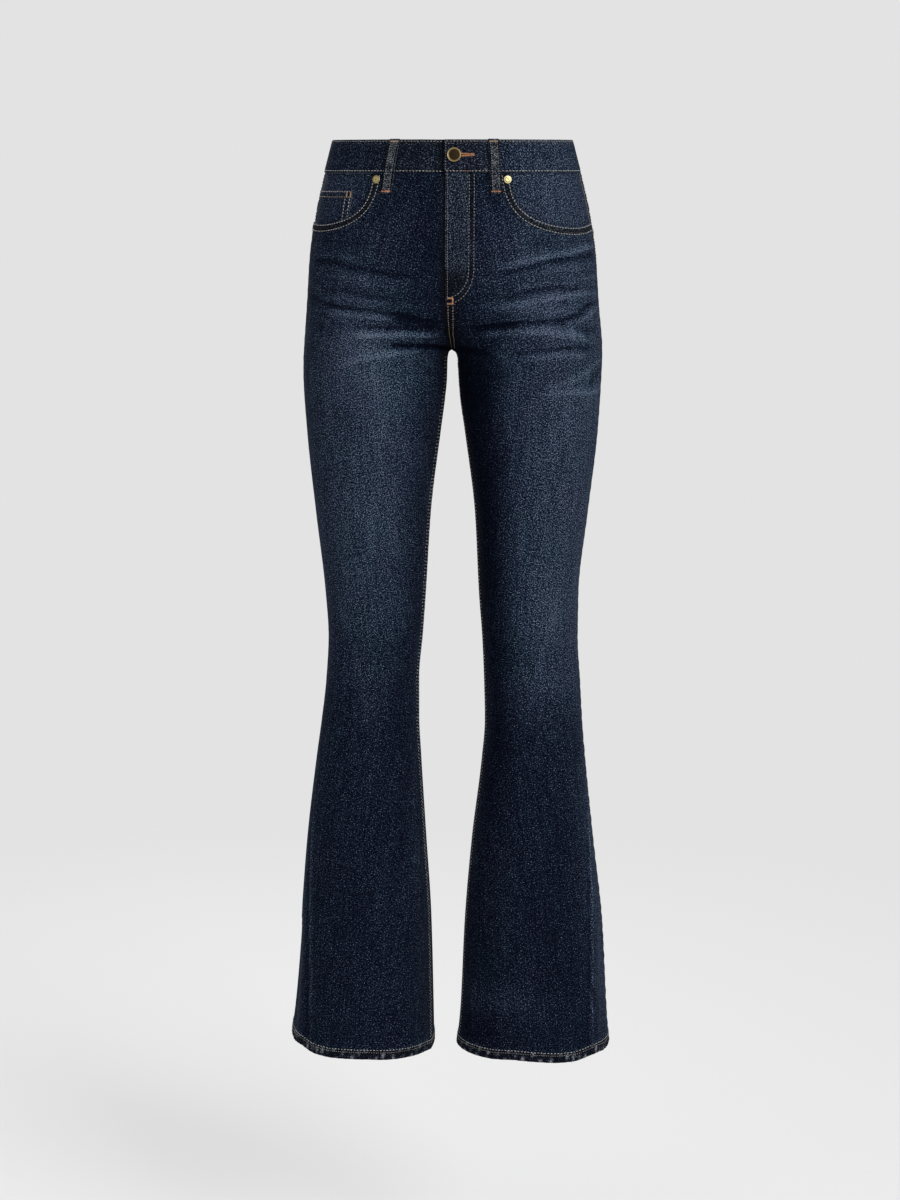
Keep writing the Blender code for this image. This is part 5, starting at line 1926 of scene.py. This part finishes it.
@dataclass
class HandPockets(Tailor):
    """What shows in the front pocket mouths: the bearers and the coin pocket."""

    fronts: Fronts
    bearer_drop: float = 0.120
    bearer_past: float = 0.012  # how far a bearer reaches past its mouth
    coin_top: float = 0.0588
    coin_share: float = 0.403
    coin_wall: float = 0.0012

    def build(self, side: Side) -> None:
        """Build one bearer and, on the right, the coin pocket.

        Args:
            side: Wearer's side.
        """
        depth = DENIM + SEAM_GAP + ((self.coin_wall + SEAM_GAP) if side is R else 0.0)
        drop, across = mesh_grid(np.linspace(BAND_HEIGHT + SEAM_GAP, self.bearer_drop, 44),
                                 np.linspace(0.0, 1.0, 50))
        wide = self.fronts.mouth_share[side] * self.form.length(side, FRONT, drop) + self.bearer_past
        along = SEAM_GAP / 2 + across * wide
        fade = (0.45 if side is L else 0.34) + 0.08 * bell(across - 0.45, 0.3)
        # Painted shadow of the front's mouth edge on the bearer.
        shade = 0.45 * bell(self.fronts.from_mouth(side, drop, along), 0.0035)
        self.cut("pocket_bearer_" + side.word, side, FRONT, drop, along, -depth, -depth - DENIM,
                 Held.STRETCHED, {"fade": fade, "shade": shade}, "dark_indigo_denim", (0.4, 0.1))
        path = np.linspace(BAND_HEIGHT + 0.002, 0.098, 60)
        self.sewing.on_skin(Row.FINE, "stitches_front_" + side.word, side, FRONT, path, 0.0034, -depth)
        if side is R:
            self._coin()

    def _coin(self) -> None:
        """Build the coin pocket and its sewing."""
        out = -(DENIM + SEAM_GAP)
        drop, across = mesh_grid(np.linspace(self.coin_top, self.bearer_drop, 30), np.linspace(0.0, 1.0, 34))
        along = SEAM_GAP / 2 + across * self.coin_share * self.form.length(R, FRONT, drop)
        edge = np.minimum((drop - self.coin_top), (1.0 - across) * 0.085)
        lift = out - 0.0004 * ease((0.0008 - edge) / 0.0008)
        fade = 0.30 + 0.24 * ease((0.0013 - edge) / 0.001) + 0.06 * bell(across - 0.5, 0.3)
        self.cut("coin_pocket", R, FRONT, drop, along, lift, out - self.coin_wall, Held.STRETCHED,
                 {"fade": fade}, "dark_indigo_denim", (0.2, 0.5))

        def sew(row: Row, at: Array, over: Array | float, away: float = 0.0) -> None:
            """Sew a row on the coin pocket, at shares of its width less a distance."""
            along = over * self.coin_share * self.form.length(R, FRONT, at) - away
            self.sewing.on_skin(row, "stitches_coin", R, FRONT, at, along, out)

        t = np.linspace(0.02, 0.985, 70)
        for below, row in ((0.0018, Row.TOP), (0.0080, Row.TAN)):
            sew(row, np.full(70, self.coin_top + below), t)
        for away in (0.0020, 0.0090):
            sew(Row.TOP, np.linspace(self.coin_top + 0.009, 0.099, 50), 1.0, away)
        for away in (0.0015, 0.0075):
            sew(Row.TAN_TACK, np.linspace(self.coin_top + 0.0012, self.coin_top + 0.0085, 14), 1.0, away)


@dataclass
class Waist(Tailor):
    """The waistband, the belt loops, the fly's inside and the zip."""

    tape: Material
    brass: Material
    # Angles from the centre front to the wearer's left: the band's outer end, where its inner end starts
    # to dip under, where it is down, and the inner end.
    start: float = -1.2
    level_to: float = 348.0
    dipped_from: float = 356.5
    end: float = 372.0
    radius: float = 0.12  # turns angles into distances on the weave
    proud: float = 0.0008
    wall: float = 0.0030
    button_row: tuple[float, float] = (7.0, 10.8)  # angles over which the lower row is copper
    loop_width: float = 0.0132
    loop_wall: float = 0.0018
    # Each loop's node, and the angles of its top and bottom.
    loops: tuple[tuple[str, float, float], ...] = (
        ("belt_loop_front_right", -25.0, -26.6),
        ("belt_loop_front_left", 22.0, 21.3),
        ("belt_loop_back_right", -122.0, -122.0),
        ("belt_loop_back_left", 122.0, 122.0),
        ("belt_loop_back_centre", 180.0, 180.0),
    )
    # Drops down a loop, with how far its back stands off the form.
    loop_rows: tuple[tuple[float, float], ...] = (
        (-0.0005, 0.0012), (0.0050, 0.0014), (0.0140, 0.0024), (0.0240, 0.0027),
        (0.0340, 0.0023), (0.0430, 0.0016), (0.0540, 0.0005), (0.0625, 0.0005),
    )

    def build(self) -> None:
        """Build everything at the waist."""
        self._band()
        for name, top, bottom in self.loops:
            self._loop(name, top, bottom)
        self._fly_shield()
        self._zip()

    def _dip(self, angle: Array) -> Array:
        """How far the band dips under its other end."""
        return (self.wall + SEAM_GAP) * ease((angle - self.level_to) / (self.dipped_from - self.level_to))

    def _band(self) -> None:
        """Build the waistband, its edge stitching and the buttonhole."""
        angles = np.concatenate((self.start + np.array([0.0, 0.35]), np.linspace(0.0, self.level_to, 300),
                                 np.linspace(self.level_to, self.end, 26)[1:]))
        drops = np.concatenate(([0.0, 0.0006, 0.0014, 0.0026], np.linspace(0.005, 0.0335, 9),
                                [0.0359, 0.0371, 0.0379, BAND_HEIGHT]))
        drop, angle = mesh_grid(drops, angles)
        rounded = 0.0009 * ease((0.0014 - drop) / 0.0014) + 0.0006 * ease((drop - 0.0373) / 0.0012)
        rounded = np.maximum(rounded, 0.0008 * ease((self.start + 0.35 - angle) / 0.35))
        sewn = 0.0003 * (bell(drop - 0.0026, 0.0012) + bell(drop - 0.0362, 0.0012))
        run = np.radians(angle) * self.radius
        wave = 0.0003 * self.form.pucker(run, 0.016) * (bell(drop - 0.036, 0.006) + bell(drop, 0.006))
        level = self.proud - self._dip(angle)
        outer, normals = self.form.belt(angle, drop, level - rounded - sewn + wave)
        inner, _ = self.form.belt(angle, drop, level - self.wall)
        top = ease((0.0075 - drop) / 0.002)
        # Painted light: lighter round the wearer's left front, the side that faces the key lamp.
        fade = 0.24 + 0.22 * bell(angle - 55.0, 40.0) + 0.04 * bell(angle - 180.0, 90.0)
        fade = fade + 0.30 * ease((0.0016 - drop) / 0.0012) + 0.05 * top
        fade = fade + 0.14 * np.maximum(self.form.pucker(run, 0.012), 0.0) * bell(drop - 0.0345, 0.004)
        fade = fade + 0.2 * ease((self.start + 0.6 - angle) / 0.4) + 0.06 * bell(drop - 0.026, 0.004)
        middle = bell(angle - 9.0, 15.0) + bell(angle - 348.0, 24.0)
        # Painted shadow where the band's inner end dips under its outer end; the band is also darker along its
        # lower edge and round its middle.
        shade = 0.8 * bell(angle - 358.4, 2.0) + 0.25 * bell(drop - BAND_HEIGHT, 0.001) + 0.20 * middle
        cloth = Cloth("waistband_denim", outer, inner, normals, np.stack((run, drop + 0.7), axis=2),
                      {"fade": fade, "shade": shade, "grey": 0.45 * middle + 0.40 * top})
        lay_sheet(cloth, "waistband", self.denim)
        self._sew_band()

    def _sew_band(self) -> None:
        """Sew the waistband's edges and the buttonhole."""
        sewing, out = self.sewing, self.proud - 0.0003
        first, last = self.start + 0.8, self.level_to + 10.0
        left, right = self.button_row
        for at, row, low, high in ((0.0022, Row.FLY, first, last), (0.0364, Row.TOP, first, left),
                                   (0.0364, Row.TOP, right, last)):
            sweep = np.linspace(low, high, int((high - low) * 2))
            sewing.on_belt(row, "stitches_waistband", sweep, at, out - self._dip(sweep))
        sewing.on_belt(Row.COPPER, "stitches_waistband", np.linspace(left, right, 24), 0.0364, out)
        down = np.linspace(0.0030, 0.0360, 40)
        sewing.on_belt(Row.FINE, "stitches_waistband", self.start + 0.85, down, self.proud)
        t = np.linspace(0.0, 1.0, 60)
        swell = 0.00135 * (1.0 - 0.80 * t) + 0.0003
        for edge in (0.0178 - swell, 0.0178 + swell):
            sewing.on_belt(Row.TACK, "buttonhole", 4.6 + 8.0 * t, edge, self.proud, raised=0.0002,
                           pitch=0.00065)

    def _loop(self, name: str, top: float, bottom: float) -> None:
        """Build one belt loop with its rows and bar tacks.

        Args:
            name: Its node.
            top: Angle of its top.
            bottom: Angle of its bottom.
        """
        table = np.array(self.loop_rows)
        first, last = table[0, 0], table[-1, 0]
        stand = smooth_column(table[:, 0], table[:, 1])
        per_degree = math.radians(1.0) * (0.150 if abs(math.sin(math.radians(top))) < 0.6 else 0.118)
        half = self.loop_width / 2 / per_degree

        def centre(at: Array | float) -> Array | float:
            """Angle of the loop's centre line at a drop."""
            return top + (bottom - top) * (at - first) / (last - first)

        downs = np.unique(np.concatenate((np.linspace(first, last, 46), [0.0, 0.0617])))
        right = np.array([0.15, 0.4, 0.62, 0.8, 0.93, 1.0])
        drop, across = mesh_grid(downs, np.concatenate((-right[::-1], right)))
        angle = centre(drop) + across * half * (1.0 - 0.02 * np.sin(drop * 90.0))
        side = np.abs(across)
        height = (0.0003 * bell(side - 0.45, 0.2) - 0.0005 * ease((side - 0.9) / 0.1)
                  + 0.00015 * self.form.pucker(drop + 0.01 * top, 0.009) * side)
        at = np.maximum(drop, 0.0)
        outer, normals = self.form.belt(angle, at, stand(drop) + self.loop_wall + height)
        inner, _ = self.form.belt(angle, at, stand(drop))
        for grid in (outer, inner):
            grid[..., 2] += at - drop
        lightness = np.maximum(self.form.pucker(drop + 0.02 * top, 0.0075), 0.0)
        rubbed = scatter(across * 2.1 + top, drop / 0.0026, 2.0)
        # Painted shade: darker where the loop rounds off to its edges, and darkest at the edges through the shade
        # attribute.
        fade = 0.53 + 0.22 * rubbed + 0.18 * lightness * bell(side - 0.5, 0.35) - 0.50 * bell(side - 0.80, 0.14)
        fade = fade + 0.22 * ease((0.002 - drop) / 0.002)
        weave = np.stack((across * 0.006 + top * 0.01, drop), axis=2)
        cloth = Cloth(name + "_denim", outer, inner, normals, weave,
                      {"fade": fade, "shade": 0.7 * ease((side - 0.96) / 0.04), "grey": 1.0})
        lay_sheet(cloth, name, self.denim)
        path = np.linspace(0.0012, 0.0585, 90)
        for offset in (-0.62, 0.62):
            self.sewing.on_belt(Row.FINE, "stitches_loops", centre(path) + offset * half, path,
                                stand(path) + self.loop_wall + 0.0003)
        for place, row in ((0.0602, Row.TACK), (0.0028, Row.TAN_TACK)):
            line = np.linspace(centre(place) - 0.84 * half, centre(place) + 0.84 * half, 16)
            out = float(stand(np.array([place]))[0]) + self.loop_wall
            self.sewing.on_belt(row, "stitches_loops", line, place, out, raised=0.0001)

    def _strip(self, node: str, name: str, low: float, high: float, bottom: float, depth: float, wall: float,
               material: Material, slot: str) -> None:
        """Build a strip behind the fly.

        Args:
            node: The node it stands for.
            name: Name of the piece.
            low: Distance of one edge from the centre.
            high: Distance of the other edge.
            bottom: Drop of its lower end.
            depth: Distance of its outer face behind the form.
            wall: Its thickness.
            material: Its finish.
            slot: Name of its material slot; not used.
        """
        drop, across = mesh_grid(np.linspace(BAND_HEIGHT + SEAM_GAP, bottom, 50), np.linspace(low, high, 18))
        along = self.form.length(L, FRONT, drop) - across
        outer, normals = self.form.skin(L, FRONT, drop, along, -depth)
        inner, _ = self.form.skin(L, FRONT, drop, along, -depth - wall)
        cloth = Cloth(name, outer, inner, normals, np.stack((across, drop), axis=2), {"fade": 0.2})
        lay_sheet(cloth, node, material)

    def _fly_shield(self) -> None:
        """Build the strip behind the zip."""
        self._strip("fly_shield", "fly_shield_denim", -0.014, 0.038, 0.190, 0.0063, DENIM, self.denim,
                    "dark_indigo_denim")

    def _zip(self) -> None:
        """Build the zip's tape and its closed chain."""
        self._strip("zip", "zip_tape", -0.010, 0.022, 0.180, 0.0040, 0.0009, self.tape, "zip_tape")
        teeth = Spots()
        drop = np.linspace(BAND_HEIGHT + 0.002, 0.176, 200)
        for across, shift in ((-0.0011, 0.0), (0.0011, 0.0007)):
            along = self.form.length(L, FRONT, drop) - across
            points, normals = self.form.skin(L, FRONT, drop, along, -0.0055)
            points = points - np.array([0.0, 0.0, shift])
            teeth.row(points, normals, pitch=0.0021, raised=0.0, crosswise=True)
        size = (0.0032, 0.0011, 0.0016)
        thing = RowTree(Grain.TOOTH).grow("zip_chain", teeth, size, self.brass, 0.02, 0.01)
        finish_piece(thing)


@dataclass
class Trim:
    """The waist button and the rivets."""

    form: Form
    button_metal: Material
    rivet_metal: Material
    turns: int = 56
    # Radius, height and rub of each ring, from the middle of the face.
    button_profile: tuple[Triple, ...] = (
        (0.0, 0.00300, 0.05), (0.0020, 0.00298, 0.05), (0.0042, 0.00285, 0.05), (0.0058, 0.00262, 0.10),
        (0.0066, 0.00270, 0.45), (0.0071, 0.00330, 1.0), (0.0076, 0.00358, 1.0), (0.0081, 0.00345, 1.0),
        (0.00845, 0.00290, 0.75), (0.0084, 0.00220, 0.5), (0.0078, 0.00165, 0.3), (0.0060, 0.00110, 0.2),
        (0.0036, 0.00090, 0.2), (0.0034, 0.0, 0.2), (0.0, 0.0, 0.2),
    )
    rivet_profile: tuple[Triple, ...] = (
        (0.0, 0.00120, 0.5), (0.0009, 0.00128, 0.6), (0.0015, 0.00165, 0.95), (0.0021, 0.00172, 1.0),
        (0.0027, 0.00145, 0.8), (0.0031, 0.00112, 0.5), (0.0037, 0.00105, 0.6), (0.0043, 0.00098, 0.95),
        (0.0047, 0.00060, 0.9), (0.0048, 0.0, 0.6), (0.0, 0.0, 0.4),
    )
    # Side, share of the way from the side seam, and how much of its rub a rivet has.
    rivets: tuple[tuple[Side, float, float], ...] = ((L, 0.633, 1.0), (R, 0.567, 0.45))

    def build(self) -> None:
        """Build the button and both rivets."""
        drop = np.array([0.0181])
        spot = self.form.skin(L, FRONT, drop, self.form.length(L, FRONT, drop) - 0.0091, 0.0011)
        self._turned("button", self.button_profile, spot, self.button_metal)
        drop = np.array([0.0464])
        for side, share, rub in self.rivets:
            along = share * self.form.length(side, FRONT, drop)
            spot = self.form.skin(side, FRONT, drop, along, SEAM_GAP + 0.0004)
            profile = tuple((radius, height, rubbed * rub) for radius, height, rubbed in self.rivet_profile)
            self._turned("rivet_" + side.word, profile, spot, self.rivet_metal)

    def _turned(self, node: str, profile: tuple[Triple, ...], spot: tuple[Array, Array], metal: Material) -> None:
        """Turn a profile round an axis that stands on the cloth.

        Args:
            node: The node it stands for.
            profile: Radius, height and rub of each ring.
            spot: The point and the normal there, as arrays of one row.
            metal: Its finish.
        """
        base, axis = Vector(spot[0][0]), Vector(spot[1][0])
        aim = Vector((0.0, 0.0, 1.0)).rotation_difference(axis).to_matrix()
        points, rubs, faces = [], [], []
        rings = profile[1:-1]
        for radius, height, rub in rings:
            for k in range(self.turns):
                angle = math.tau * k / self.turns
                ring_point = (radius * math.cos(angle), radius * math.sin(angle), height)
                points.append(base + aim @ Vector(ring_point))
                rubs.append(rub)
        for ring in range(len(rings) - 1):
            for k in range(self.turns):
                a, b = ring * self.turns + k, ring * self.turns + (k + 1) % self.turns
                faces.append((a + self.turns, b + self.turns, b, a))
        for end, ring in ((profile[0], 0), (profile[-1], len(rings) - 1)):
            points.append(base + aim @ Vector((0.0, 0.0, end[1])))
            rubs.append(end[2])
            for k in range(self.turns):
                a, b = ring * self.turns + k, ring * self.turns + (k + 1) % self.turns
                faces.append((a, b, len(points) - 1) if ring == 0 else (b, a, len(points) - 1))
        mesh = bpy.data.meshes.new(node + "_brass")
        mesh.from_pydata([tuple(p) for p in points], [], faces)
        mesh.attributes.new("rubbed", "FLOAT", "POINT").data.foreach_set("value", rubs)
        mesh.materials.append(metal)
        mesh.shade_smooth()
        finish_piece(place_object(mesh.name, mesh), [node])


@dataclass(frozen=True)
class Studio:
    """Pale floor, soft lights and the camera."""

    back: Triple = (0.768, 0.768, 0.768)
    ground: Triple = (0.68, 0.68, 0.68)
    floor_drop: float = 0.36
    floor_radius: float = 7.0
    clear: float = 0.6  # reach of the floor's own colour
    blend: float = 1.6  # distance over which it turns into the background
    # Name, place, size, power and target.
    lamps: tuple[tuple[str, Triple, float, float, Triple], ...] = (
        ("key", (2.6, -3.0, 1.5), 1.8, 120.0, (0.0, 0.0, -0.35)),
        ("fill", (-2.8, -2.6, 0.4), 2.4, 12.0, (0.0, 0.0, -0.45)),
        ("back", (-1.4, 3.0, 1.2), 2.0, 60.0, (0.0, 0.0, -0.40)),
    )
    # The camera: distance from the garment's axis, angle to the wearer's left, shift, height and tilt,
    # and half the frame's height in the unit of the focal length.
    distance: float = 3.0
    around: float = 4.5
    shift: float = 0.0027
    height: float = -0.010
    tilt: float = 10.04
    half_frame: float = 600.0
    focal: float = 2455.0

    def build(self) -> None:
        """Set up the world, the floor, the lights and the camera."""
        scene = bpy.context.scene
        scene.view_settings.view_transform = "Standard"
        scene.world = bpy.data.worlds.new("studio")
        scene.world.use_nodes = True
        sky = scene.world.node_tree.nodes["Background"]
        sky.inputs["Color"].default_value = (*self.back, 1.0)
        sky.inputs["Strength"].default_value = 1.0
        self._floor()
        for name, place, size, power, target in self.lamps:
            lamp = bpy.data.lights.new(name, "AREA")
            lamp.size, lamp.energy = size, power
            turn = (Vector(place) - Vector(target)).to_track_quat("Z", "Y").to_matrix().to_4x4()
            place_object(name, lamp).matrix_world = Matrix.Translation(place) @ turn
        lens = bpy.data.cameras.new("camera")
        lens.sensor_fit = "VERTICAL"
        lens.angle = 2.0 * math.atan(self.half_frame / self.focal)
        camera = place_object("camera", lens)
        around = math.radians(self.around)
        camera.location = (self.distance * math.sin(around) - self.shift,
                           -self.distance * math.cos(around), self.height)
        camera.rotation_euler = (math.radians(90.0 - self.tilt), 0.0, around)
        scene.camera = camera

    def _floor(self) -> None:
        """Add a round pale floor that blends into the background at its rim."""
        rings, turns = 24, 72
        spots = [(0.0, 0.0)]
        for ring in range(1, rings + 1):
            reach = self.floor_radius * ring / rings
            for k in range(turns):
                angle = math.tau * k / turns
                spots.append((reach * math.cos(angle), reach * math.sin(angle)))
        low = WAIST_TOP - HEM_DROP - self.floor_drop
        faces = [(0, 1 + k, 1 + (k + 1) % turns) for k in range(turns)]
        for ring in range(rings - 1):
            for k in range(turns):
                a, b = 1 + ring * turns + k, 1 + ring * turns + (k + 1) % turns
                faces.append((a, a + turns, b + turns, b))
        mesh = bpy.data.meshes.new("floor")
        mesh.from_pydata([(x, y, low) for x, y in spots], [], faces)
        blend = [min(max((math.hypot(x, y) - self.clear) / self.blend, 0.0), 1.0) for x, y in spots]
        mesh.attributes.new("far", "FLOAT", "POINT").data.foreach_set("value", blend)
        g = Graph("pale_floor")
        g.set(Base_Color=(*self.ground, 1.0), Roughness=0.9)
        glow = g.add("ShaderNodeEmission", {"Color": (*self.back, 1.0), "Strength": 1.0})
        ways = {0: g.attribute("far"), 1: g.shader.outputs[0], 2: glow.outputs[0]}
        both = g.add("ShaderNodeMixShader", ways)
        g.feed(g.tree.nodes["Material Output"].inputs["Surface"], both.outputs[0])
        mesh.materials.append(g.material)
        floor = place_object("floor", mesh)


def main() -> None:
    """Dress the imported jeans."""
    logging.basicConfig(level=logging.INFO, format="%(name)s: %(message)s")
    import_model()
    Studio().build()
    form = Form()
    denim = Denim().make()
    brass = Brass("aged_brass", (0.27, 0.20, 0.095), (0.028, 0.019, 0.010), 0.36).make()
    rivet = Brass("satin_brass", (0.66, 0.58, 0.30), (0.16, 0.12, 0.05), 0.30).make()
    threads = {thread.name: thread.make() for thread in THREADS}
    sewing = Sewing(form)
    fronts = Fronts(form, sewing, denim)
    backs = Backs(form, sewing, denim)
    hand_pockets = HandPockets(form, sewing, denim, fronts)
    for side in Side:
        fronts.build(side)
        backs.build(side)
        hand_pockets.build(side)
    Waist(form, sewing, denim, Tape().make(), brass).build()
    Trim(form, brass, rivet).build()
    sewing.build(threads)


if __name__ == "__main__":
    main()
